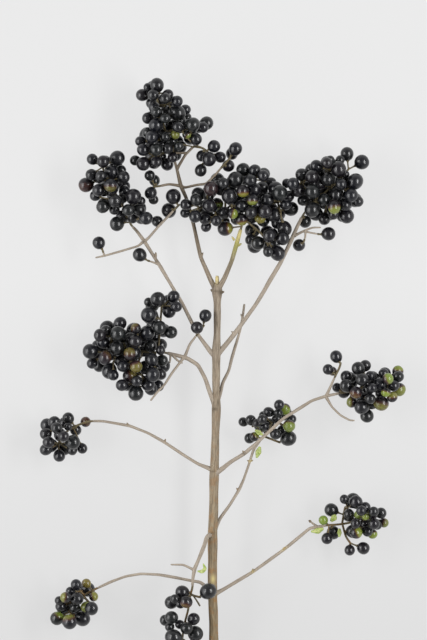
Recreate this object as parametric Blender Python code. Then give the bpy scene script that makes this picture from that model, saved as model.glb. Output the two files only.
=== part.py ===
"""A sprig of privet with ripe berries, lying on a surface.

The woody stem with all its side branches is one solid, as it grew. Every bunch of berries is one solid of
its own: stalks, fruit stalks and berries fused together, starting a small gap beyond the end of its twig.
The sprig lies in the XY plane with its tip towards +Y, and +Z is up. The origin is the middle of the box
round the sprig, at the height of the surface. Places and sizes in the lists are in millimetres.
"""

import math

import bpy
import bmesh
import numpy as np
from mathutils import Vector

MM = 0.001
JOINT_GAP = 0.35          # between the end of a twig and the bunch that it carries
BERRY_GAP = 0.1           # between two berries of one bunch
BUNCH_GAP = 0.9           # between a berry and another bunch or a twig
BERRY_RADIUS = 3.4        # a middling berry that the rule adds
BERRY_SPREAD = 0.4        # how much these berries differ
SMALLEST, LARGEST = 2.3, 4.2
BERRY_LENGTH = 1.1        # half length of a berry for each unit of its radius
BERRY_WIDTH = 1.04        # half width of a berry for each unit of its radius
EDGE_ROOM = 2.0           # how far the berries at the edge stand beyond the clusters
EDGE_FROM = 0.75          # from this share of the way out, a berry counts as one at the edge
KEPT_WITHIN = 0.75        # a berry of the rule that ends further out than this is left out
PEDICEL_RADIUS = 0.5
SHORTEST_PEDICEL = 0.9
STALK_RADIUS = 0.6
SET_BACK = 1.2            # how far back along its stalk a fruit stalk starts
SETTLE_STEPS = 220
FREE_STEPS = 20           # steps at the end in which nothing pulls the berries to their first places
LONGEST_MOVE = 1.2        # of a berry in one step
TABLE_ROOM = 0.4          # between a berry and the surface
HIGHEST = 35.4            # top of the highest berries
RING_RADIUS = 0.95        # of a berry's two rings, for each unit of its half width
RING_PLACE = 0.45         # of the rings along the berry, for each unit of its half length
NECK_PLACE = 0.93         # of the end of the fruit stalk, likewise
SHARE_SHOWN = 0.25        # of the berries that aren't at the edge of a bunch, those on its outside
STEM_SIDES = 8
TWIG_SIDES = 5
THIN_SIDES = 4
BERRY_SIDES = 5
PEDICEL_SIDES = 3
CAP_RADIUS = 1.3          # flat spot under a berry that the sprig rests on
BLADE_THICKNESS = 0.9
SEED = 20

# Each twig: points (x, y, z, radius), from where it grows to its end.
TWIGS = {
    "stem": [(-4.5, -168.5, 17, 2.6), (-5, -130, 18.5, 2.5), (-5.5, -118, 19, 2.5), (-5.5, -115, 19, 2.8),
             (-5.5, -108, 19, 2.5), (-5.5, -81.5, 19.5, 2.7), (-5, -69.5, 20, 2.5), (-4.5, -47.5, 20, 2.6),
             (-4, -31, 20.5, 2.1), (-3.5, -12.5, 20.5, 2.5), (-3.5, -4.5, 20.5, 2.0), (-3.5, 17.5, 21, 2.4),
             (-3, 27, 21, 1.9), (-3, 45, 21.5, 2.0), (-3, 51, 21.5, 3.1), (-3, 55, 21.5, 2.2)],
    "dry_tip": [(-3, 53.5, 21.5, 1.3), (-3, 59.5, 22, 0.9)],
    "top": [(-3.5, 51.5, 21.5, 1.5), (-6.5, 57, 21, 1.3), (-12, 69.5, 18.5, 1.1), (-16, 88, 15.5, 1.0),
            (-20, 102.5, 15, 1.0), (-23, 109, 16, 1.1), (-25.5, 119.5, 18, 0.8), (-26.5, 123, 18.4, 0.7)],
    "top_left": [(-23, 109, 16, 0.8), (-29.5, 110, 17, 0.7), (-34, 109, 18, 0.7)],
    "top_right": [(-23, 109, 16, 0.8), (-21, 108, 16.5, 0.7), (-14.5, 109.5, 18, 0.7), (-9, 110, 20, 0.7),
                  (-4, 115, 22, 0.6), (-1, 118.5, 22.6, 0.6)],
    "top_fork": [(-25, 118.5, 18, 0.8), (-20.5, 126, 20, 0.7), (-15.5, 131, 21.5, 0.7), (-12, 130, 22, 0.6)],
    "top_spur": [(-20, 127, 20, 0.6), (-26, 127, 22, 0.5)],
    "left_upper": [(-4, 15.5, 20.5, 1.5), (-6.5, 17.5, 21, 1.4), (-13.5, 27, 21, 1.2), (-22, 44, 20.5, 1.2),
                   (-26.5, 51.5, 20.5, 1.1), (-34.5, 65, 20, 1.2), (-36.5, 68, 20, 1.1), (-43, 78.5, 20, 1.2),
                   (-47, 84, 20, 1.0), (-49.5, 86.5, 20, 0.9)],
    "left_fork": [(-43, 78.5, 20, 0.8), (-41, 80, 20.5, 0.7), (-34.5, 87.5, 22, 0.7), (-30, 92, 23, 0.7),
                  (-27, 95.2, 23.6, 0.6)],
    "left_thin": [(-44, 78, 20, 0.7), (-46, 76, 20, 0.6), (-56, 73, 19, 0.6), (-65, 70.5, 18, 0.6),
                  (-70, 69.5, 17.5, 0.4)],
    "left_thin_up": [(-65, 70.5, 18, 0.5), (-65.6, 72.3, 18.3, 0.5)],
    "left_low": [(-35.5, 66, 20, 0.6), (-38.5, 67, 21, 0.5), (-40, 67.5, 21.5, 0.5)],
    "centre": [(-3, 51, 21.5, 1.5), (1, 58, 23, 1.3), (5, 67.5, 24.5, 1.2), (8, 78, 25, 1.2),
               (10, 85, 24.5, 1.0)],
    "right_upper": [(-3.5, 15.5, 20.5, 1.5), (2.5, 22.5, 21.5, 1.3), (6.5, 27.5, 22, 1.4),
                    (10.5, 33, 22, 1.1), (18.5, 44, 22.5, 1.1), (23, 51.5, 23, 1.1),
                    (26, 57, 23, 1.3), (32, 67, 22, 1.1),
                    (37.5, 78.5, 21, 1.1), (41, 86.5, 20, 1.0), (43.5, 91.5, 19.5, 0.9)],
    "right_side": [(39.5, 81.5, 20.5, 0.8), (45.5, 84.5, 22, 0.6), (49.5, 86, 23, 0.5), (54, 86, 23.5, 0.4)],
    "right_outer": [(44.5, 84, 21.8, 0.6), (49, 83, 21.5, 0.5), (52, 82.5, 21.5, 0.5)],
    "right_inner": [(45.5, 84.5, 22, 0.6), (45.5, 81, 23, 0.5), (45, 79.5, 23.5, 0.5)],
    "bare_right": [(-3.5, -12, 20.5, 1.2), (-1, -4.5, 18.5, 1.0), (0, 0.5, 17.5, 0.9), (3.5, 7.5, 16.5, 0.8),
                   (5, 14, 16, 0.9), (9.5, 29, 15.5, 0.7), (11, 36.5, 15.5, 0.7), (12, 44, 16, 0.6)],
    "bare_right_bud": [(11, 36, 15.5, 0.5), (10, 38.5, 17, 0.3)],
    "left_middle": [(-4, -12.5, 20.5, 1.4), (-7, -4.5, 21, 1.2), (-9.5, 3, 20.5, 1.1), (-13.5, 10.5, 20, 1.1),
                    (-19, 14, 20, 1.1), (-24, 15.5, 20, 1.1), (-30.5, 17, 20, 0.9)],
    "left_dark": [(-27.5, 16, 20, 0.7), (-25, 13, 21.5, 0.6), (-22, 11.5, 22.5, 0.5)],
    "left_bud": [(-28.5, 16.5, 20, 0.6), (-29, 11.5, 20.5, 0.4)],
    "left_up": [(-21, 14.5, 20, 0.8), (-18, 22, 23, 0.7), (-14.5, 26.5, 25, 0.6)],
    "left_down": [(-21, 15, 20, 0.8), (-24, 11, 23, 0.7), (-27.5, 6.5, 26, 0.7), (-32, -0.5, 29, 0.6),
                  (-36, -4.5, 30.5, 0.6), (-39.5, -9, 31, 0.5)],
    "left_small": [(-4.5, -47.5, 20, 1.4), (-13.5, -44, 20, 1.2), (-20, -40, 20, 1.1), (-32, -32, 19, 1.2),
                   (-41, -27, 18, 1.0), (-51, -23, 17, 1.1), (-66, -20.5, 15.5, 1.0),
                   (-71.5, -20.5, 15, 0.9)],
    "right_middle": [(-4.5, -49.5, 20.5, 1.6), (0, -46.5, 22, 1.4), (4, -43, 23.5, 1.3), (12, -38, 26, 1.3),
                     (18.5, -32.5, 27.5, 1.1), (26, -25.5, 28.5, 1.1), (33, -19, 28.5, 1.0),
                     (43.5, -12.5, 27, 1.1), (49, -9, 25.5, 1.0), (57, -6.5, 23, 1.0), (64.5, -5, 20.5, 0.8)],
    "right_up": [(57, -6.5, 23, 0.8), (59.5, -1, 22.5, 0.7), (61.5, 3.5, 22, 0.6)],
    "right_down": [(56.5, -6.5, 23, 0.8), (60, -12.5, 23, 0.6), (64.5, -17, 23.5, 0.6), (70, -20, 24, 0.5),
                   (72.5, -20, 24, 0.4)],
    "under": [(-4.5, -80.5, 19.5, 1.3), (-1.5, -74, 18.5, 1.0), (4, -66.5, 17, 0.9), (9, -58.5, 14.5, 1.0),
              (11.5, -53, 12.5, 0.8), (15, -43, 11.5, 0.8), (17, -36.5, 11.5, 0.8), (21, -31, 11.5, 0.7)],
    "right_lower": [(-5.5, -116, 19, 1.5), (-0.5, -113.5, 19.5, 1.3), (5.5, -110, 19, 1.3),
                    (16.5, -103.5, 18, 1.2), (34, -91, 16, 1.2), (48, -79.5, 14.5, 1.2), (57, -78, 14, 0.9)],
    "right_stub": [(52.5, -79, 14, 0.7), (48, -75.5, 15.5, 0.5)],
    "left_lower": [(-5.5, -115, 19, 1.5), (-12, -109, 18.5, 1.2), (-15.5, -108.5, 18, 1.1),
                   (-26, -106.5, 17.5, 1.2), (-35, -105, 17, 1.1), (-45, -104.5, 16, 1.0),
                   (-53.5, -106, 15.5, 1.0), (-61.5, -109, 14.5, 1.1), (-69, -112.5, 14, 0.9)],
    "foot": [(-5.5, -82.5, 20, 1.3), (-8.5, -83.5, 23, 1.1), (-10, -88.5, 25, 1.1), (-11, -91, 25.5, 1.2),
             (-13.5, -97, 26.5, 0.9), (-15.5, -101.5, 27, 1.1), (-16.5, -108, 27, 0.8),
             (-16.5, -110.5, 26.5, 0.8)],
    "foot_left": [(-15.5, -102, 27, 0.7), (-21.5, -99, 27.5, 0.6), (-28.5, -99, 27, 0.4)],
}

# Each bunch: the twig that carries it, the height of its middle, how far apart its front and back halves
# are, and how deep each half is. Then its stalks, with points (x, y, z). Then its clusters, with a centre,
# two half sizes and the number of berries that the rule adds. Then the berries with a place and a radius of
# their own, and a few with a height too. The last entry is the number of the cluster with a berry under it
# that the sprig rests on, or None.
BUNCHES = {
    "bunch_top": ("top", 19, 5, 6,
        [[(-28.5, 128.5, 19), (-31.5, 139.5, 19), (-34.5, 149.5, 19), (-36.5, 159.5, 19)]],
        [(-37, 159, 5, 4.5, 2), (-30, 154, 6.5, 5, 3), (-34, 145, 7, 5, 4), (-18, 140, 5.5, 4.5, 2),
         (-36, 134, 8, 5, 4), (-38.5, 125, 8, 4.5, 3), (-26.5, 131, 4.5, 5, 2), (-24, 140.5, 6, 5, 4),
         (-28, 133.5, 4, 4, 2), (-34.5, 160, 3, 3, 1)],
        [(-36, 164.5, 3.8), (-44, 159, 3.4), (-41, 163, 2.3), (-20.5, 151, 2.8), (-25, 155, 3),
         (-9, 143.5, 3.6), (-16.5, 142, 3.9), (-15, 134.5, 3.3), (-11, 141, 3), (-41, 146, 3),
         (-45, 133.5, 2.8), (-48, 123, 2.8), (-43.5, 121, 3.6), (-36.5, 122, 3), (-30.5, 121, 3.3),
         (-37.5, 152, 3), (-30, 159, 2.8), (-19.5, 137, 2.3), (-24.5, 130.5, 2.5), (-41, 138, 2.8),
         (-38, 158.5, 3), (-31.5, 156.5, 3), (-25, 149, 4.4), (-36.5, 142, 3.9), (-31.5, 145.5, 2.8),
         (-38.5, 135.5, 3.3), (-31.5, 135.5, 2.8), (-43.5, 128.5, 3.3), (-36, 128.5, 3.3), (-30, 129, 3),
         (-27.5, 125, 2.8), (-26, 137, 2.5)], None),
    "bunch_top_fork": ("top_fork", 22, 0, 0,
        [[(-7.5, 127, 22)]], [],
        [(-4.5, 130, 3.3), (-11.5, 125.5, 3), (-7.5, 123.5, 3.8), (-1.5, 125, 3), (-12, 117.5, 3.3)], None),
    "trio_top": ("top_right", 23, 0, 0,
        [[(1.5, 121.5, 23), (4.5, 124.5, 23.5)]], [],
        [(7, 129, 3.6), (5, 126.5, 3.3), (3, 120.5, 3.3)], None),
    "bunch_left_inner": ("top_left", 18, 0, 0,
        [[(-38.5, 108.5, 18)]], [],
        [(-40, 114.5, 2.8), (-37.5, 112, 3), (-39.5, 105, 3.3), (-38, 101.5, 2.5)], None),
    "bunch_left_upper": ("left_upper", 19, 5, 6,
        [[(-53, 94.5, 19.5), (-57.5, 102.5, 19), (-62, 110, 19), (-66, 119, 19)]],
        [(-65, 120, 7, 3.5, 2), (-63.5, 111, 9, 5.5, 6), (-62, 101, 6.5, 4.5, 3), (-50, 98.5, 5, 5, 3),
         (-42, 92.5, 4, 3, 2)],
        [(-71.5, 123.5, 3), (-65.5, 122, 3.3), (-58, 124, 4), (-72, 115, 3), (-75, 109.5, 3.9),
         (-70, 103.5, 2.8), (-65.5, 97.5, 3.6), (-59.5, 96, 2.8), (-58, 88, 3.7), (-54, 106, 3),
         (-49, 102.5, 4.2), (-45, 100.5, 2.5), (-54.5, 113.5, 3.3), (-42, 91, 3.6), (-36, 89.5, 3),
         (-46, 95.5, 3.3), (-66.5, 114, 3), (-61, 116.5, 3.6), (-56, 117.5, 2.8), (-68, 106.5, 3.3),
         (-61.5, 109, 3.6), (-59, 100.5, 3.6), (-51.5, 95.5, 3.3), (-55, 92, 3.6)], 1),
    "pair_left_fork": ("left_fork", 24, 0, 0,
        [[(-23.5, 98.8, 24)]], [],
        [(-27, 103, 4, 22), (-29.5, 95.5, 4, 17.5)], None),
    "berry_left_thin": ("left_thin_up", 18.5, 0, 0,
        [], [],
        [(-68, 77.5, 3.3)], None),
    "berry_left_low": ("left_low", 22, 0, 0,
        [], [],
        [(-45.5, 71, 3.6)], None),
    "bunch_centre": ("centre", 21, 6, 6,
        [[(13, 94.5, 23), (14.5, 102.5, 21.5), (15.5, 111, 21)],
         [(12, 91.5, 23.5), (1.5, 97, 21), (-11, 97, 21)],
         [(13.5, 96.5, 22), (24, 98.5, 21), (32.5, 100.5, 21)],
         [(12.5, 90, 23.5), (20.5, 83.5, 21), (26, 77.5, 20)]],
        [(16.5, 113, 8, 4, 4), (1.5, 108.5, 6.5, 4.5, 3), (15, 102.5, 10, 5, 7), (31, 100.5, 5.5, 6, 3),
         (-13.5, 97, 5.5, 5, 2), (-4, 91, 6, 4, 2), (17.5, 92.5, 6, 4, 3), (24.5, 78.5, 8, 5.5, 4),
         (5, 98.5, 5.5, 5, 3), (-8.5, 103.5, 5, 4, 3), (32, 93, 4, 4, 2)],
        [(11.5, 117.5, 3.6), (17.5, 117, 3.3), (26.5, 111, 2.8), (7, 112, 4.2), (0.5, 108.5, 3),
         (-6, 107, 3.9), (29.5, 107, 3.9), (36, 103, 3.3), (37.5, 96.5, 3.9), (-14.5, 101, 3.3),
         (-20, 98.5, 3), (-15, 92, 3.3), (-9, 86.5, 2.8), (1.5, 85.5, 4), (10.5, 90.5, 3.3), (34, 85.5, 4),
         (30, 72, 4.2), (25, 73, 2.8), (15.5, 79.5, 3), (16.5, 84.5, 4), (32.5, 80, 3.6), (-9.5, 90.5, 3),
         (21.5, 114, 3), (16.5, 112.5, 3.3), (22, 108, 3.3), (4, 103.5, 4.1), (31, 101.5, 4.1),
         (-7.5, 98, 3.6), (10.5, 97.5, 3.3), (24.5, 101, 3.3), (-20.5, 94, 2.6), (-3.5, 89.5, 2.8),
         (1, 94, 3.3), (16, 94.5, 3.3), (22.5, 94.5, 3.6), (28.5, 93, 3.9), (19.5, 77.5, 3.6),
         (24.5, 78.5, 3.6), (11, 105.5, 3.3), (-3, 99, 3.3), (16, 100.5, 3), (5.5, 93.5, 2.8),
         (20.5, 91, 2.8)], None),
    "bunch_right_upper": ("right_upper", 19, 6, 6,
        [[(49, 99.5, 19), (56, 105, 19), (63, 111, 19), (70, 119, 19)],
         [(51.5, 102, 19), (44, 109, 19)],
         [(52.5, 102.5, 19), (63.5, 99, 19)]],
        [(59, 118, 9.5, 4, 4), (43, 111, 6.5, 5, 3), (58, 109, 10.5, 5.5, 8), (68.5, 105.5, 5.5, 6.5, 4),
         (52.5, 99, 7, 5, 4), (63.5, 97, 6.5, 4.5, 4)],
        [(68.5, 126.5, 3.6), (76.5, 122, 3.8), (59, 123, 2.3), (51.5, 119.5, 3.3), (43.5, 114.5, 3.3),
         (35, 110, 2.5), (38.5, 109.5, 3.3), (72.5, 111, 4.5), (74, 100.5, 3), (68, 92.5, 4), (56, 91, 3.3),
         (45.5, 89.5, 3.3), (44, 101, 2.8), (64.5, 123, 2.5), (57.5, 121, 3), (63, 118, 4.1),
         (48.5, 117.5, 3.3), (49, 113, 3.6), (57.5, 112, 3.3), (67.5, 115, 2.2), (65, 109.5, 3),
         (41.5, 107, 3.6), (49.5, 106, 3.9), (62.5, 104, 3.9), (70.5, 103.5, 3.6), (55, 100.5, 3.3),
         (49.5, 96, 4.1), (66.5, 98, 3), (61, 93.5, 3), (61, 97.5, 3.6)], 2),
    "berry_right_inner": ("right_inner", 22, 0, 0,
        [], [],
        [(42, 76.5, 3.3)], None),
    "berry_right_outer": ("right_outer", 21.5, 0, 0,
        [], [],
        [(57, 82.5, 3.6)], None),
    "bunch_left_middle": ("left_middle", 19, 6, 6,
        [[(-40, 17.5, 19.5), (-50, 18.5, 19), (-62, 18.5, 19)],
         [(-35.5, 17.5, 19.5), (-34.5, 29.5, 19), (-33.5, 43, 19)],
         [(-44, 18, 19.5), (-47.5, 9, 19), (-48.5, -1, 19)]],
        [(-33, 43, 6.5, 4, 2), (-34.5, 29.5, 5.5, 3.5, 2), (-61, 27, 7, 4, 3), (-46, 25.5, 7, 5, 4),
         (-64.5, 17, 7, 5.5, 4), (-51, 12.5, 7.5, 5.5, 5), (-37.5, 9, 4.5, 6.5, 3), (-48, 0, 6.5, 3.5, 2),
         (-54, 22, 5, 4, 3), (-59, 14.5, 4, 4, 2), (-44, 5, 4, 4, 2), (-36, 36, 5, 5, 2)],
        [(-35.5, 46.5, 3.9), (-27, 48, 3.3), (-40.5, 45, 2.5), (-40.5, 38, 4.1), (-25.5, 42.5, 3),
         (-28.5, 28.5, 3.4), (-56.5, 33, 3.6), (-57.5, 27.5, 4.1), (-67, 27, 3.3), (-47.5, 30, 2.8),
         (-72.5, 18, 4), (-71.5, 11.5, 3), (-62, 7.5, 4.2), (-55, -0.5, 3.3), (-47.5, -4.5, 3.9),
         (-39.5, -2.5, 3.3), (-35.5, -1, 3), (-34, 5.5, 3), (-33.5, 13, 3), (-34, 21.5, 3.3),
         (-65.5, 23, 3.3), (-29.5, 40, 3.5), (-34.5, 31, 3.7), (-41.5, 28, 4), (-63, 28.5, 2.8),
         (-58, 19.5, 4), (-48, 23.5, 3.5), (-39.5, 21, 3.4), (-50.5, 17, 3.4), (-44.5, 18, 3.2),
         (-64.5, 14.5, 3.6), (-54.5, 10, 3.2), (-47.5, 10, 3.3), (-38.5, 11, 3.7), (-38.5, 7, 3.9),
         (-50.5, 3.5, 3.9), (-41, 0, 3.5), (-60, 5, 2.8)], 5),
    "pair_left_middle": ("left_up", 27, 0, 0,
        [[(-11.5, 30.5, 26.5), (-10, 32.5, 27)]], [],
        [(-9.5, 37.5, 3.3), (-14, 31, 3.3)], None),
    "bunch_left_small": ("left_small", 13, 3, 4,
        [[(-79.5, -22.5, 14), (-85, -25.5, 13.5), (-89.5, -29.5, 13), (-90.5, -34, 13)]],
        [(-91.5, -23.5, 6, 4, 2), (-89.5, -32.5, 8, 5, 3)],
        [(-75.5, -21, 2.8), (-92.5, -21, 3.2), (-85, -19, 3.1), (-97.5, -27.5, 3.1), (-97.5, -36, 3.3),
         (-90, -39.5, 3.2), (-82.5, -32, 3.9), (-77.5, -35.5, 2.8), (-83, -36.5, 2.8), (-81, -25.5, 3),
         (-91, -24, 3.1), (-85, -23.5, 2.2), (-89.5, -28, 3.1), (-95.5, -32, 3.2)], None),
    "bunch_right_middle": ("right_middle", 18, 4, 5,
        [[(71, -4, 18.5), (78, -1.5, 18), (85.5, 0, 18), (92.5, -0.5, 18)]],
        [(76.5, 4, 6.5, 4.5, 2), (89.5, 1.5, 5.5, 4, 2), (71.5, -4, 5.5, 4, 1), (91, -5, 5, 3, 1),
         (82, -10, 6.5, 3.5, 2), (83, -2, 5, 5, 4)],
        [(74.5, 8.5, 3.5), (78.5, 10, 3), (88.5, 5.5, 2.8), (96.5, 7, 2.9), (96.5, 4, 3), (97.3, -3, 3.5),
         (93, -7, 2.8), (87, -10.5, 4), (79.5, -17.5, 3.5), (71, -10, 2.8), (68, -1, 3.5), (68, 4, 3.2),
         (76.5, -12.5, 3.9), (63, -2, 2.5), (76.5, 2.5, 3.5), (81, 4.5, 2.6), (90.5, 3, 3), (86.5, 0, 3.5),
         (89.5, -4.5, 2.5), (73, -4.5, 3.3), (80, -3, 3), (81, -8, 2.8)], None),
    "trio_right_middle": ("right_up", 21, 0, 0,
        [[(64.5, 9.5, 21.5), (65, 12, 21.5)]], [],
        [(62.5, 15, 3.3), (58, 8, 2.8), (60.5, 7, 2.5)], None),
    "bunch_under": ("under", 11, 3.5, 3.5,
        [[(25, -25.5, 11.5), (29, -18.5, 11.5)],
         [(24, -27, 11.5), (18.5, -23.5, 11.5), (15, -22, 11.5)],
         [(23, -29, 11.5), (32, -32.5, 11.5)]],
        [(16.5, -23.5, 4.5, 3, 0), (29.5, -15, 5.5, 3.5, 1), (34.5, -23.5, 3.5, 4, 0),
         (21.5, -26.5, 3.5, 3, 1), (26.5, -26, 3.5, 2, 1)],
        [(11.5, -21, 2.6), (15.5, -20, 2.8), (25.5, -15.5, 2.9), (31, -11.5, 2.8), (34, -14, 3.2),
         (38, -19.5, 2.5), (36.5, -23, 3.3), (36, -30, 4.2), (15, -30, 2.8), (25.5, -22, 2.8),
         (29, -27.5, 3), (19, -21.5, 2.5), (30.5, -16, 2.5), (17.5, -29, 2.5), (22.5, -17.5, 2.3),
         (22.5, -24, 2.8)], None),
    "bunch_right_lower": ("right_lower", 13, 3, 4.5,
        [[(64, -77.5, 13.5), (70.5, -76.5, 13), (76.5, -74, 13), (83.5, -73.5, 13)],
         [(65.8, -77.3, 13.5), (67.5, -68, 13)],
         [(66, -77.3, 13.5), (68, -84.5, 13), (71, -88.5, 13)]],
        [(69, -68, 5.5, 4, 2), (81, -72.5, 5.5, 4.5, 4), (74.5, -78.5, 4.5, 3.5, 2)],
        [(60, -69.5, 3.6), (67.5, -63.5, 2.5), (73, -65, 3.5), (87, -71.5, 2.9), (88.5, -76, 2.5),
         (79.5, -81, 2.9), (82.5, -82.5, 2.5), (57.5, -85, 3), (61, -82, 3.6), (70, -91.5, 2.8),
         (77.5, -90.5, 3.3), (78.5, -68, 2.9), (55.5, -75, 2.5), (82.5, -71.5, 2.9), (75.5, -72, 2.9),
         (78.5, -72.5, 2.1), (69.5, -71.5, 2.8), (73, -76.5, 2.8), (83, -76.5, 3.1), (85, -77.5, 2.5),
         (73.5, -81.5, 3.3)], 1),
    "bunch_left_lower": ("left_lower", 13, 3, 4.5,
        [[(-75, -115.5, 13.5), (-80, -120, 13), (-84, -125.5, 13)]],
        [(-84, -120, 6, 4.5, 4), (-83.5, -127, 7, 3.5, 2), (-74, -120, 3, 3.5, 1), (-79, -113.5, 4.5, 2, 1)],
        [(-80.5, -110.5, 3), (-75, -110, 2.5), (-83.5, -114, 2.5), (-89.5, -119, 2.5), (-89, -122, 2.8),
         (-91, -129, 3.6), (-84, -130.5, 4), (-77.5, -129, 4.2), (-72, -123, 3.6), (-71, -117, 2.5),
         (-86, -117, 3), (-80, -118, 3.5), (-75.5, -122.5, 2.8), (-81, -123, 3)], 0),
    "bunch_foot": ("foot", 18, 3.5, 5,
        [[(-17.5, -114.5, 26), (-19, -124.5, 21), (-20.5, -130, 19), (-22, -138.5, 18), (-23, -147.5, 18)],
         [(-17.5, -115.5, 26), (-12, -117, 28)]],
        [(-23.5, -117, 4.5, 4, 1), (-28, -130.5, 3.5, 3.5, 1), (-18, -132, 4.5, 4.5, 1),
         (-21, -141, 7, 5, 2), (-22, -148, 5, 3.5, 1)],
        [(-22, -114.5, 3.6), (-28, -120, 3.6), (-28, -128, 3.5), (-16, -129, 3.3), (-26.5, -138.5, 4.5),
         (-15, -137, 4.1), (-14.5, -145.5, 3.4), (-28, -148, 3.4), (-20, -153, 3.5), (-8, -113.5, 4.4, 30.6),
         (-20, -119, 3.3), (-26, -117.5, 2.5), (-23, -120, 2.5), (-28.5, -133, 2.5), (-24, -132, 2.5),
         (-20, -134, 3.3)], None),
}

# Each bract: points (x, y, z, half width) along its middle.
BRACTS = {
    "bract_under_hanging": [(20.6, -34.6, 13, 0.5), (19.8, -37.4, 14, 1.4), (18.7, -40.7, 14.5, 0.4)],
    "bract_under_folded": [(17.8, -25.3, 19.5, 0.4), (20, -26.7, 19.8, 1.2), (22.2, -28, 19.5, 0.4)],
    "bract_lower_fork": [(59.6, -75.7, 16.5, 0.5), (61.2, -73.8, 18, 1.3), (62, -72, 19, 0.4)],
    "bract_lower_long": [(55.6, -79.6, 15.3, 0.5), (52.5, -80.9, 15.8, 1.4), (48.7, -81.3, 15, 0.4)],
    "bract_lower_down": [(64.3, -79.6, 15.5, 0.5), (64.4, -81.8, 16.5, 1.0), (64.2, -84.2, 17, 0.4)],
    "bract_foot_curled": [(-13.8, -102.5, 28.6, 0.4), (-11.2, -102.8, 29.2, 1.1), (-9.6, -101.2, 29.4, 1.0),
                          (-10.6, -98.3, 29.2, 0.3)],
}


def arr(points):
    return np.array([point[:3] for point in points], float)


def unit(vector):
    return vector / np.sqrt((vector * vector).sum(-1, keepdims=True))


def start_of(twig):
    """Two points just beyond the end of a twig, in line with it, where the stalk of a bunch starts."""
    points = arr(TWIGS[twig])
    ahead = unit(points[-1] - points[-2])
    return [tuple(points[-1] + JOINT_GAP * ahead), tuple(points[-1] + (JOINT_GAP + SET_BACK) * ahead)]


def stalks_of(bunch):
    """The polylines of stalks inside a bunch. Each cluster adds a side stalk at the front and at the back."""
    twig, middle, apart, _, stalks, clusters, _, _ = BUNCHES[bunch]
    start = start_of(twig)
    lines = [start + stalks[0]] + stalks[1:] if stalks else [start]
    axis = [(a, b) for line in lines for a, b in zip(arr(line)[:-1], arr(line)[1:])][1:]
    for x, y, *_ in clusters:
        for side in (1, -1):
            tip = np.array([x, y, middle + side * (apart + 1)])
            near = min((closest(tip, a, b) for a, b in axis), key=lambda p: ((p - tip) ** 2).sum())
            lines.append([tuple(near), tuple(tip)])
    return lines


def closest(point, a, b):
    """The point of the segment from a to b that is closest to a point. It works on arrays too."""
    along = b - a
    share = ((point - a) * along).sum(-1) / np.maximum((along * along).sum(-1), 1e-9)
    return a + np.clip(share, 0, 1)[..., None] * along


def segments(lines, radius):
    """Ends and radii of the straight pieces of some polylines."""
    starts = np.concatenate([arr(line)[:-1] for line in lines])
    ends = np.concatenate([arr(line)[1:] for line in lines])
    if radius is not None:
        return starts, ends, np.full(len(starts), radius)
    return starts, ends, np.concatenate([[p[3] for p in line[:-1]] for line in lines])


def way_out(x, y, clusters):
    """How far from the middle of its nearest cluster a place is: 1 at the edge of the bunch."""
    return min([math.hypot((x - a) / (wide + EDGE_ROOM), (y - b) / (high + EDGE_ROOM))
                for a, b, wide, high, _ in clusters], default=1)


def draw_berries():
    """The first places of all berries: (bunch number, centre, radius, home, half sizes, kind) as arrays.

    Kind 0 is a berry that the rule adds, in the middle or at the back of a cluster, and 2 one that the sprig
    rests on. Kinds 1 and 3 have a place of their own, at the edge of the bunch or inside its outline. Their
    heights follow its front, which bulges like half an egg.
    """
    draws = np.random.default_rng(SEED)
    rows = []
    for number, entry in enumerate(BUNCHES.values()):
        _, middle, apart, depth, _, clusters, placed, rest = entry
        for x, y, radius, *height in placed:
            out = way_out(x, y, clusters)
            front = middle + (apart + depth) * math.sqrt(max(0, 1 - out * out))
            z = height[0] if height else front + draws.uniform(-0.5, 0.5) * apart
            rows.append([number, x, y, z, radius, x, y, z, 1, 1, 4, 1 if out > EDGE_FROM else 3])
        for index, (x, y, wide, high, count) in enumerate(clusters):
            if index == rest:
                half = BERRY_LENGTH * BERRY_RADIUS
                rows.append([number, x, y, half, BERRY_RADIUS, x, y, half, 1, 1, 1, 2])
            for k in range(count):
                radius = np.clip(BERRY_RADIUS + BERRY_SPREAD * draws.normal(), SMALLEST, LARGEST)
                at = unit(draws.normal(size=3)) * draws.uniform(0.3, 1) ** 0.33 * (wide, high, depth)
                home = (x, y, middle if k % 3 == 2 else middle - apart)
                rows.append([number, *(at + home), radius, *home, wide, high, depth, 0])
    rows = np.array(rows)
    number, kind = rows[:, 0].astype(int), rows[:, 11].astype(int)
    return number, rows[:, 1:4], rows[:, 4], rows[:, 5:8], rows[:, 8:11], kind


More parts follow.
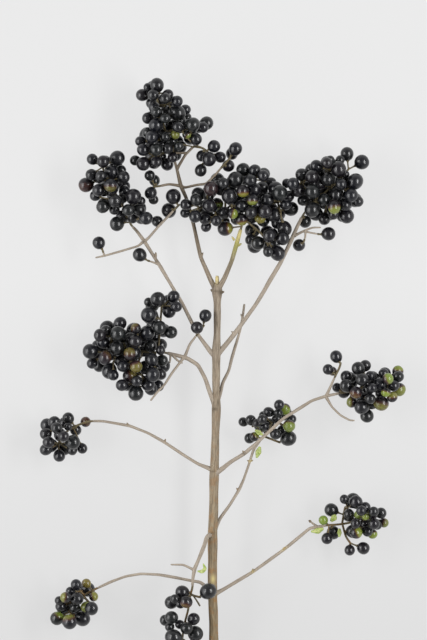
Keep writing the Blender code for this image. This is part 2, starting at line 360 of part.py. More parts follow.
def settle(number, centre, radius, home, half, kind):
    """Moves the berries apart until none touches another, a twig, a bract or the surface."""
    centre = centre.copy()
    stalks = [stalks_of(bunch) for bunch in BUNCHES]
    inner = [segments(lines, STALK_RADIUS) for lines in stalks]
    wood = segments(list(TWIGS.values()) + list(BRACTS.values()), None)
    starts = np.concatenate([wood[0]] + [part[0] for part in inner])
    ends = np.concatenate([wood[1]] + [part[1] for part in inner])
    thick = np.concatenate([wood[2]] + [part[2] for part in inner])
    owner = np.concatenate([np.full(len(wood[0]), -1)] + [np.full(len(p[0]), i) for i, p in enumerate(inner)])
    own = owner[None] == number[:, None]
    room = radius[:, None] + np.where(own, SHORTEST_PEDICEL + 0.1, thick[None] + BUNCH_GAP)
    same = number[:, None] == number[None]
    apart = BERRY_LENGTH * (radius[:, None] + radius[None]) + np.where(same, BERRY_GAP, BUNCH_GAP)
    np.fill_diagonal(apart, 0)
    placed = kind % 2 == 1
    weight = np.where(kind == 2, 0.0, np.where(placed, 0.35, 1.0))
    share = weight[:, None] / np.maximum(weight[:, None] + weight[None], 1e-9)
    low = TABLE_ROOM + BERRY_LENGTH * radius
    high = HIGHEST - BERRY_LENGTH * radius
    for step in range(SETTLE_STEPS):
        gap = centre[:, None] - centre[None]
        far = np.sqrt((gap * gap).sum(-1)) + 1e-6
        push = np.clip(apart - far, 0, None) * share * 0.8
        move = (gap / far[..., None] * push[..., None]).sum(1)
        side = centre[:, None] - closest(centre[:, None], starts[None], ends[None])
        far = np.sqrt((side * side).sum(-1)) + 1e-6
        push = np.clip(room - far, 0, None) * 0.7 * (weight > 0)[:, None]
        move += (side / far[..., None] * push[..., None]).sum(1)
        if step < SETTLE_STEPS - FREE_STEPS:
            off = (centre - home) / half
            out = np.sqrt((off * off).sum(-1))
            back = np.where(kind == 0, np.clip(1 - 1 / np.maximum(out, 1), 0, 1) * 0.3, 0)
            move -= (centre - home) * back[:, None]
            move[:, :2] -= (centre - home)[:, :2] * np.where(placed, 0.25, 0)[:, None]
        length = np.sqrt((move * move).sum(-1, keepdims=True))
        centre += move * np.minimum(1, LONGEST_MOVE / np.maximum(length, 1e-9))
        centre[:, 2] = np.where(kind == 2, centre[:, 2], np.clip(centre[:, 2], low, high))
    return centre, stalks


def inside_outline(number, centre, kind):
    """False for a berry of the rule that the others have pushed too far outwards."""
    clusters = [entry[5] for entry in BUNCHES.values()]
    out = np.array([way_out(x, y, clusters[index]) for index, (x, y, _) in zip(number, centre)])
    return (kind > 0) | (out < KEPT_WITHIN)


def attach(number, centre, kind, stalks):
    """Where each fruit stalk starts: the closest point of the stalks, a little back towards the twig.

    The first piece of the first stalk, next to the twig, carries no berry.
    """
    roots = np.empty_like(centre)
    for i, point in enumerate(centre):
        lines = stalks[number[i]]
        starts, ends, _ = segments(lines, STALK_RADIUS)
        starts, ends = starts[1:], ends[1:]
        if not len(starts):
            roots[i] = lines[0][-1]
            continue
        if kind[i] == 2:
            tips = np.array([line[-1] for line in lines])
            tips = tips[tips[:, 2] < tips[:, 2].mean()]
            across = ((tips[:, :2] - point[:2]) ** 2).sum(-1)
            roots[i] = tips[np.argmin(across)]
            continue
        near = closest(point[None], starts, ends)
        best = int(np.argmin(((near - point) ** 2).sum(-1)))
        back = starts[best] - near[best]
        length = np.sqrt((back * back).sum())
        roots[i] = near[best] + back * min(SET_BACK, length) / max(length, 1e-9)
    return roots


def carries(line, roots):
    """True where one of the fruit stalks starts on the outer part of a side stalk."""
    a, b = arr(line)[0], arr(line)[-1]
    near = closest(roots, a, b)
    return bool(((((near - roots) ** 2).sum(-1) < 0.01) & (((near - a) ** 2).sum(-1) > 0.3)).any())


def shown(number, centre, kind):
    """True for the berries built here: those at the edge, and the outer part of the others."""
    keep = (kind == 1) | (kind == 2)
    for index in range(len(BUNCHES)):
        inside = np.flatnonzero((number == index) & ~keep)
        if not len(inside):
            continue
        middle = centre[number == index].mean(0)
        size = centre[number == index].std(0) + 1
        out = (((centre[inside] - middle) / size) ** 2).sum(-1)
        count = int(round(SHARE_SHOWN * len(inside)))
        keep[inside[np.argsort(-out, kind="stable")[:count]]] = True
    return keep


def basis(ahead):
    """Two directions square to a direction and to each other."""
    helper = Vector((0, 0, 1)) if abs(ahead.z) < 0.9 else Vector((1, 0, 0))
    across = ahead.cross(helper).normalized()
    return across, ahead.cross(across)


def rings_mesh(name, rings, tip=None):
    """A closed mesh through rings of points, in metres, with flat ends or a pointed one.

    Where two rings have different numbers of points, triangles step round both at the same pace.
    """
    mesh = bmesh.new()
    layers = [[mesh.verts.new(Vector(point) * MM) for point in ring] for ring in rings]
    for low, high in zip(layers[:-1], layers[1:]):
        i = j = 0
        while i < len(low) or j < len(high):
            if len(low) == len(high):
                after = (i + 1) % len(low)
                mesh.faces.new((low[i], low[after], high[after], high[i]))
                i += 1
                j += 1
            elif (i + 1) * len(high) <= (j + 1) * len(low):
                mesh.faces.new((low[i], low[(i + 1) % len(low)], high[j % len(high)]))
                i += 1
            else:
                mesh.faces.new((low[i % len(low)], high[(j + 1) % len(high)], high[j]))
                j += 1
    mesh.faces.new(layers[0][::-1])
    if tip is None:
        mesh.faces.new(layers[-1])
    else:
        point = mesh.verts.new(Vector(tip) * MM)
        last = layers[-1]
        for i in range(len(last)):
            mesh.faces.new((last[i], last[(i + 1) % len(last)], point))
    bmesh.ops.recalc_face_normals(mesh, faces=mesh.faces)
    data = bpy.data.meshes.new(name)
    mesh.to_mesh(data)
    mesh.free()
    data.shade_smooth()
    return bpy.data.objects.new(name, data)


def circle(middle, across, up, radius, sides, turn=0.0):
    angles = [2 * math.pi * (i + turn) / sides for i in range(sides)]
    return [middle + float(radius) * (math.cos(a) * across + math.sin(a) * up) for a in angles]


def tube(name, points, sides):
    """A round bar along points (x, y, z, radius)."""
    places = [Vector(point[:3]) for point in points]
    rings = []
    for i, place in enumerate(places):
        before = places[max(i - 1, 0)]
        after = places[min(i + 1, len(places) - 1)]
        across, up = basis((after - before).normalized())
        rings.append(circle(place, across, up, points[i][3], sides))
    return rings_mesh(name, rings)


def berry(name, root, centre, radius, resting):
    """A fruit stalk and its berry: two rings round the berry, turned half a side, then a tip or flat spot."""
    root = Vector(root)
    centre = Vector(centre)
    ahead = Vector((0, 0, -1)) if resting else (centre - root).normalized()
    if resting:
        root = Vector((centre.x, centre.y, root.z))
    across, up = basis(ahead)
    half = BERRY_LENGTH * float(radius)
    wide = RING_RADIUS * BERRY_WIDTH * float(radius)
    rings = [circle(root, across, up, PEDICEL_RADIUS, PEDICEL_SIDES),
             circle(centre - NECK_PLACE * half * ahead, across, up, PEDICEL_RADIUS + 0.15, PEDICEL_SIDES),
             circle(centre - RING_PLACE * half * ahead, across, up, wide, BERRY_SIDES),
             circle(centre + RING_PLACE * half * ahead, across, up, wide, BERRY_SIDES, 0.5)]
    if resting:
        rings.append(circle(centre + half * ahead, across, up, CAP_RADIUS, BERRY_SIDES, 0.5))
        return rings_mesh(name, rings)
    return rings_mesh(name, rings, centre + half * ahead)


def blade(name, points):
    """A small leaf: a flat six-sided bar along points (x, y, z, half width), as thick as a blade."""
    places = [Vector(point[:3]) for point in points]
    rings = []
    for i, place in enumerate(places):
        before = places[max(i - 1, 0)]
        after = places[min(i + 1, len(places) - 1)]
        across, up = basis((after - before).normalized())
        wide = points[i][3]
        flat = BLADE_THICKNESS / 2
        corners = [(1, 0), (0.5, 1), (-0.5, 1), (-1, 0), (-0.5, -1), (0.5, -1)]
        rings.append([place + wide * a * across + flat * b * up for a, b in corners])
    return rings_mesh(name, rings)


def keep_one_body(obj):
    """Drops loose scraps and sealed hollows: only the piece with the longest box stays."""
    mesh = bmesh.new()
    mesh.from_mesh(obj.data)
    left = set(mesh.verts)
    pieces = []
    while left:
        piece = {left.pop()}
        edge = list(piece)
        while edge:
            near = {link.other_vert(vert) for vert in edge for link in vert.link_edges} - piece
            piece |= near
            edge = list(near)
        left -= piece
        low = [min(vert.co[i] for vert in piece) for i in range(3)]
        high = [max(vert.co[i] for vert in piece) for i in range(3)]
        pieces.append((sum(b - a for a, b in zip(low, high)), piece))
    pieces.sort(key=lambda item: -item[0])
    for _, piece in pieces[1:]:
        bmesh.ops.delete(mesh, geom=list(piece), context="VERTS")
    mesh.to_mesh(obj.data)
    mesh.free()


def fused(name, objects, material, solver):
    """One solid from overlapping ones, joined by a single Boolean union."""
    base = objects[0]
    base.name = name
    base.data.name = name
    bpy.context.scene.collection.objects.link(base)
    if len(objects) > 1:
        rest = bpy.data.collections.new(name + "_rest")
        bpy.context.scene.collection.children.link(rest)
        for obj in objects[1:]:
            rest.objects.link(obj)
        union = base.modifiers.new("Join", "BOOLEAN")
        union.operation = "UNION"
        union.operand_type = "COLLECTION"
        union.collection = rest
        union.solver = solver
        bpy.context.view_layer.objects.active = base
        bpy.ops.object.modifier_apply(modifier="Join")
        for obj in objects[1:]:
            bpy.data.objects.remove(obj)
        bpy.data.collections.remove(rest)
        keep_one_body(base)
    base.data.materials.clear()
    base.data.materials.append(material)
    base.data.shade_smooth()
    base.data.set_sharp_from_angle(angle=np.radians(75))
    return base


def finish(name, colour, roughness):
    """A Principled material. The colour is given as it shows, and turned linear."""
    made = bpy.data.materials.new(name)
    made.use_nodes = True
    shader = made.node_tree.nodes["Principled BSDF"]
    linear = [(c / 12.92 if c <= 0.04045 else ((c + 0.055) / 1.055) ** 2.4) for c in colour]
    shader.inputs["Base Color"].default_value = (*linear, 1)
    shader.inputs["Roughness"].default_value = roughness
    shader.inputs["Metallic"].default_value = 0
    return made


for old in list(bpy.data.objects):
    bpy.data.objects.remove(old, do_unlink=True)

bark = finish("Bark", (0.61, 0.55, 0.47), 0.75)
fruit = finish("Berries", (0.11, 0.11, 0.13), 0.3)
green = finish("Bracts", (0.57, 0.67, 0.30), 0.6)

number, first, radius, home, half, kind = draw_berries()
centre, stalks = settle(number, first, radius, home, half, kind)
wanted = inside_outline(number, centre, kind)
number, centre, radius, kind = number[wanted], centre[wanted], radius[wanted], kind[wanted]
roots = attach(number, centre, kind, stalks)
keep = shown(number, centre, kind)

bars = []
for twig, points in TWIGS.items():
    sides = STEM_SIDES if twig == "stem" else TWIG_SIDES if points[0][3] > 0.9 else THIN_SIDES
    bars.append(tube(twig, points, sides))
fused("woody_stem", bars, bark, "EXACT")
for index, bunch in enumerate(BUNCHES):
    pieces = []
    built = np.flatnonzero((number == index) & keep)
    for k, line in enumerate(stalks[index]):
        if k < max(1, len(BUNCHES[bunch][4])) or carries(line, roots[built]):
            ends = [(*point, STALK_RADIUS) for point in line]
            pieces.append(tube(f"{bunch}_stalk_{k}", ends, THIN_SIDES))
    for i in built:
        pieces.append(berry(f"{bunch}_{i}", roots[i], centre[i], radius[i], kind[i] == 2))
    fused(bunch, pieces, fruit, "MANIFOLD")
for bract, points in BRACTS.items():
    fused(bract, [blade(bract, points)], green, "EXACT")
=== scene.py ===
# %% [markdown]
# # A sprig of privet with ripe berries
#
# A branch of privet in autumn: a grey-brown woody stem, side branches in pairs, and loose bunches of
# glossy black berries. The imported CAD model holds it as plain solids. Here each bunch is replaced by
# finer berries, fruit stalks and stalks that keep its form, the stem by one with bark, and each bract by
# a thin leaf.

import math

import bpy
import numpy as np
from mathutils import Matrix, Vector


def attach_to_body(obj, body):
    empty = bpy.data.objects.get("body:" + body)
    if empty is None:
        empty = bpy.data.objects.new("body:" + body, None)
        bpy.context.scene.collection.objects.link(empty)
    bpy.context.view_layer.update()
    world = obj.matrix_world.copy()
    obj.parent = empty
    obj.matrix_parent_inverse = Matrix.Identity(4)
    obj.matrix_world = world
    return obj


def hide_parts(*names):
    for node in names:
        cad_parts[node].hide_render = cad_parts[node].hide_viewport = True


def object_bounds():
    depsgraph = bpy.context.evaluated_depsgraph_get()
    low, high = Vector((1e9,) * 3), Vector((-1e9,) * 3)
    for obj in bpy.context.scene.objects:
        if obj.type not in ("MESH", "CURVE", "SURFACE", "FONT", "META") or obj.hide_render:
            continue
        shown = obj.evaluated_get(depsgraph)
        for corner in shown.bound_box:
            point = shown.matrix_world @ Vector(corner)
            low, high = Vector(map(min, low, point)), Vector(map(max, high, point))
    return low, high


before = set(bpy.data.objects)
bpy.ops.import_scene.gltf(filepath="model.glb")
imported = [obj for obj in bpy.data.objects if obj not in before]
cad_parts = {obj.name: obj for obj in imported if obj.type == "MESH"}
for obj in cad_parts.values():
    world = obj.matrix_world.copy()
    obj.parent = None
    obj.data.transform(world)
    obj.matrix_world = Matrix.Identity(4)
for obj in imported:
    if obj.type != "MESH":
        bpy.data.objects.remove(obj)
CAD_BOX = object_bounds()
MM = 0.001
print(len(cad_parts), "nodes, from", [round(c / MM, 1) for c in CAD_BOX[0]],
      "to", [round(c / MM, 1) for c in CAD_BOX[1]], "mm")

# %% [markdown]
# ## The camera
#
# The sprig lies on a table, so a camera that looks straight down sees it as a camera in front of a
# standing sprig would. A long lens from far away keeps the near bunches from looking larger than the far
# ones. The picture is 427 pixels wide and 640 high, and one pixel covers 0.55 mm at the height of the
# twigs.

# %% Place the camera
PICTURE_HEIGHT = 640      # pixels
PIXEL = 0.55              # millimetres
SENSOR = 36.0             # millimetres, the long side of the picture
CAMERA_HEIGHT = 3000.0    # millimetres above the surface
TWIG_HEIGHT = 19.0        # millimetres above the surface
LOOK_AT = (-5.0, 35.2)    # millimetres


def put(name, data):
    """A new object in the scene, with that mesh, lamp or camera as its data."""
    made = bpy.data.objects.new(name, data)
    bpy.context.scene.collection.objects.link(made)
    return made


eye = put("camera", bpy.data.cameras.new("camera"))
eye.data.sensor_width = SENSOR
eye.data.lens = SENSOR * (CAMERA_HEIGHT - TWIG_HEIGHT) / (PICTURE_HEIGHT * PIXEL)
eye.data.clip_end = 20    # metres
eye.location = Vector((*LOOK_AT, CAMERA_HEIGHT)) * MM
bpy.context.scene.camera = eye
print("lens", round(eye.data.lens, 1), "mm")

# %% [markdown]
# ## Where the twigs grow
#
# These are the same lists that the CAD model is built from, in millimetres. Each twig is a row of points
# (x, y, z, radius), from where it grows to its end.

# %% The twigs
TWIGS = {
    "stem": [(-4.5, -168.5, 17, 2.6), (-5, -130, 18.5, 2.5), (-5.5, -118, 19, 2.5), (-5.5, -115, 19, 2.8),
             (-5.5, -108, 19, 2.5), (-5.5, -81.5, 19.5, 2.7), (-5, -69.5, 20, 2.5), (-4.5, -47.5, 20, 2.6),
             (-4, -31, 20.5, 2.1), (-3.5, -12.5, 20.5, 2.5), (-3.5, -4.5, 20.5, 2.0), (-3.5, 17.5, 21, 2.4),
             (-3, 27, 21, 1.9), (-3, 45, 21.5, 2.0), (-3, 51, 21.5, 3.1), (-3, 55, 21.5, 2.2)],
    "dry_tip": [(-3, 53.5, 21.5, 1.3), (-3, 59.5, 22, 0.9)],
    "top": [(-3.5, 51.5, 21.5, 1.5), (-6.5, 57, 21, 1.3), (-12, 69.5, 18.5, 1.1), (-16, 88, 15.5, 1.0),
            (-20, 102.5, 15, 1.0), (-23, 109, 16, 1.1), (-25.5, 119.5, 18, 0.8), (-26.5, 123, 18.4, 0.7)],
    "top_left": [(-23, 109, 16, 0.8), (-29.5, 110, 17, 0.7), (-34, 109, 18, 0.7)],
    "top_right": [(-23, 109, 16, 0.8), (-21, 108, 16.5, 0.7), (-14.5, 109.5, 18, 0.7), (-9, 110, 20, 0.7),
                  (-4, 115, 22, 0.6), (-1, 118.5, 22.6, 0.6)],
    "top_fork": [(-25, 118.5, 18, 0.8), (-20.5, 126, 20, 0.7), (-15.5, 131, 21.5, 0.7), (-12, 130, 22, 0.6)],
    "top_spur": [(-20, 127, 20, 0.6), (-26, 127, 22, 0.5)],
    "left_upper": [(-4, 15.5, 20.5, 1.5), (-6.5, 17.5, 21, 1.4), (-13.5, 27, 21, 1.2), (-22, 44, 20.5, 1.2),
                   (-26.5, 51.5, 20.5, 1.1), (-34.5, 65, 20, 1.2), (-36.5, 68, 20, 1.1), (-43, 78.5, 20, 1.2),
                   (-47, 84, 20, 1.0), (-49.5, 86.5, 20, 0.9)],
    "left_fork": [(-43, 78.5, 20, 0.8), (-41, 80, 20.5, 0.7), (-34.5, 87.5, 22, 0.7), (-30, 92, 23, 0.7),
                  (-27, 95.2, 23.6, 0.6)],
    "left_thin": [(-44, 78, 20, 0.7), (-46, 76, 20, 0.6), (-56, 73, 19, 0.6), (-65, 70.5, 18, 0.6),
                  (-70, 69.5, 17.5, 0.4)],
    "left_thin_up": [(-65, 70.5, 18, 0.5), (-65.6, 72.3, 18.3, 0.5)],
    "left_low": [(-35.5, 66, 20, 0.6), (-38.5, 67, 21, 0.5), (-40, 67.5, 21.5, 0.5)],
    "centre": [(-3, 51, 21.5, 1.5), (1, 58, 23, 1.3), (5, 67.5, 24.5, 1.2), (8, 78, 25, 1.2),
               (10, 85, 24.5, 1.0)],
    "right_upper": [(-3.5, 15.5, 20.5, 1.5), (2.5, 22.5, 21.5, 1.3), (6.5, 27.5, 22, 1.4),
                    (10.5, 33, 22, 1.1), (18.5, 44, 22.5, 1.1), (23, 51.5, 23, 1.1),
                    (26, 57, 23, 1.3), (32, 67, 22, 1.1),
                    (37.5, 78.5, 21, 1.1), (41, 86.5, 20, 1.0), (43.5, 91.5, 19.5, 0.9)],
    "right_side": [(39.5, 81.5, 20.5, 0.8), (45.5, 84.5, 22, 0.6), (49.5, 86, 23, 0.5), (54, 86, 23.5, 0.4)],
    "right_outer": [(44.5, 84, 21.8, 0.6), (49, 83, 21.5, 0.5), (52, 82.5, 21.5, 0.5)],
    "right_inner": [(45.5, 84.5, 22, 0.6), (45.5, 81, 23, 0.5), (45, 79.5, 23.5, 0.5)],
    "bare_right": [(-3.5, -12, 20.5, 1.2), (-1, -4.5, 18.5, 1.0), (0, 0.5, 17.5, 0.9), (3.5, 7.5, 16.5, 0.8),
                   (5, 14, 16, 0.9), (9.5, 29, 15.5, 0.7), (11, 36.5, 15.5, 0.7), (12, 44, 16, 0.6)],
    "bare_right_bud": [(11, 36, 15.5, 0.5), (10, 38.5, 17, 0.3)],
    "left_middle": [(-4, -12.5, 20.5, 1.4), (-7, -4.5, 21, 1.2), (-9.5, 3, 20.5, 1.1), (-13.5, 10.5, 20, 1.1),
                    (-19, 14, 20, 1.1), (-24, 15.5, 20, 1.1), (-30.5, 17, 20, 0.9)],
    "left_dark": [(-27.5, 16, 20, 0.7), (-25, 13, 21.5, 0.6), (-22, 11.5, 22.5, 0.5)],
    "left_bud": [(-28.5, 16.5, 20, 0.6), (-29, 11.5, 20.5, 0.4)],
    "left_up": [(-21, 14.5, 20, 0.8), (-18, 22, 23, 0.7), (-14.5, 26.5, 25, 0.6)],
    "left_down": [(-21, 15, 20, 0.8), (-24, 11, 23, 0.7), (-27.5, 6.5, 26, 0.7), (-32, -0.5, 29, 0.6),
                  (-36, -4.5, 30.5, 0.6), (-39.5, -9, 31, 0.5)],
    "left_small": [(-4.5, -47.5, 20, 1.4), (-13.5, -44, 20, 1.2), (-20, -40, 20, 1.1), (-32, -32, 19, 1.2),
                   (-41, -27, 18, 1.0), (-51, -23, 17, 1.1), (-66, -20.5, 15.5, 1.0),
                   (-71.5, -20.5, 15, 0.9)],
    "right_middle": [(-4.5, -49.5, 20.5, 1.6), (0, -46.5, 22, 1.4), (4, -43, 23.5, 1.3), (12, -38, 26, 1.3),
                     (18.5, -32.5, 27.5, 1.1), (26, -25.5, 28.5, 1.1), (33, -19, 28.5, 1.0),
                     (43.5, -12.5, 27, 1.1), (49, -9, 25.5, 1.0), (57, -6.5, 23, 1.0), (64.5, -5, 20.5, 0.8)],
    "right_up": [(57, -6.5, 23, 0.8), (59.5, -1, 22.5, 0.7), (61.5, 3.5, 22, 0.6)],
    "right_down": [(56.5, -6.5, 23, 0.8), (60, -12.5, 23, 0.6), (64.5, -17, 23.5, 0.6), (70, -20, 24, 0.5),
                   (72.5, -20, 24, 0.4)],
    "under": [(-4.5, -80.5, 19.5, 1.3), (-1.5, -74, 18.5, 1.0), (4, -66.5, 17, 0.9), (9, -58.5, 14.5, 1.0),
              (11.5, -53, 12.5, 0.8), (15, -43, 11.5, 0.8), (17, -36.5, 11.5, 0.8), (21, -31, 11.5, 0.7)],
    "right_lower": [(-5.5, -116, 19, 1.5), (-0.5, -113.5, 19.5, 1.3), (5.5, -110, 19, 1.3),
                    (16.5, -103.5, 18, 1.2), (34, -91, 16, 1.2), (48, -79.5, 14.5, 1.2), (57, -78, 14, 0.9)],
    "right_stub": [(52.5, -79, 14, 0.7), (48, -75.5, 15.5, 0.5)],
    "left_lower": [(-5.5, -115, 19, 1.5), (-12, -109, 18.5, 1.2), (-15.5, -108.5, 18, 1.1),
                   (-26, -106.5, 17.5, 1.2), (-35, -105, 17, 1.1), (-45, -104.5, 16, 1.0),
                   (-53.5, -106, 15.5, 1.0), (-61.5, -109, 14.5, 1.1), (-69, -112.5, 14, 0.9)],
    "foot": [(-5.5, -82.5, 20, 1.3), (-8.5, -83.5, 23, 1.1), (-10, -88.5, 25, 1.1), (-11, -91, 25.5, 1.2),
             (-13.5, -97, 26.5, 0.9), (-15.5, -101.5, 27, 1.1), (-16.5, -108, 27, 0.8),
             (-16.5, -110.5, 26.5, 0.8)],
    "foot_left": [(-15.5, -102, 27, 0.7), (-21.5, -99, 27.5, 0.6), (-28.5, -99, 27, 0.4)],
}
print(len(TWIGS), "twigs")

# %% [markdown]
# ## Where the bunches hang
#
# A bunch of privet is a small branched spray. For each one the list gives the twig that carries it, the
# height of its middle, how far apart its front and back halves are and how deep each is. Then come its
# stalks, its clusters (centre, half sizes, number of berries that the rule adds) and the berries with a
# place and a radius of their own, a few of them with a height too. The sprig rests on a berry under five
# of the bunches, and there the last value is the number of the cluster that has it.

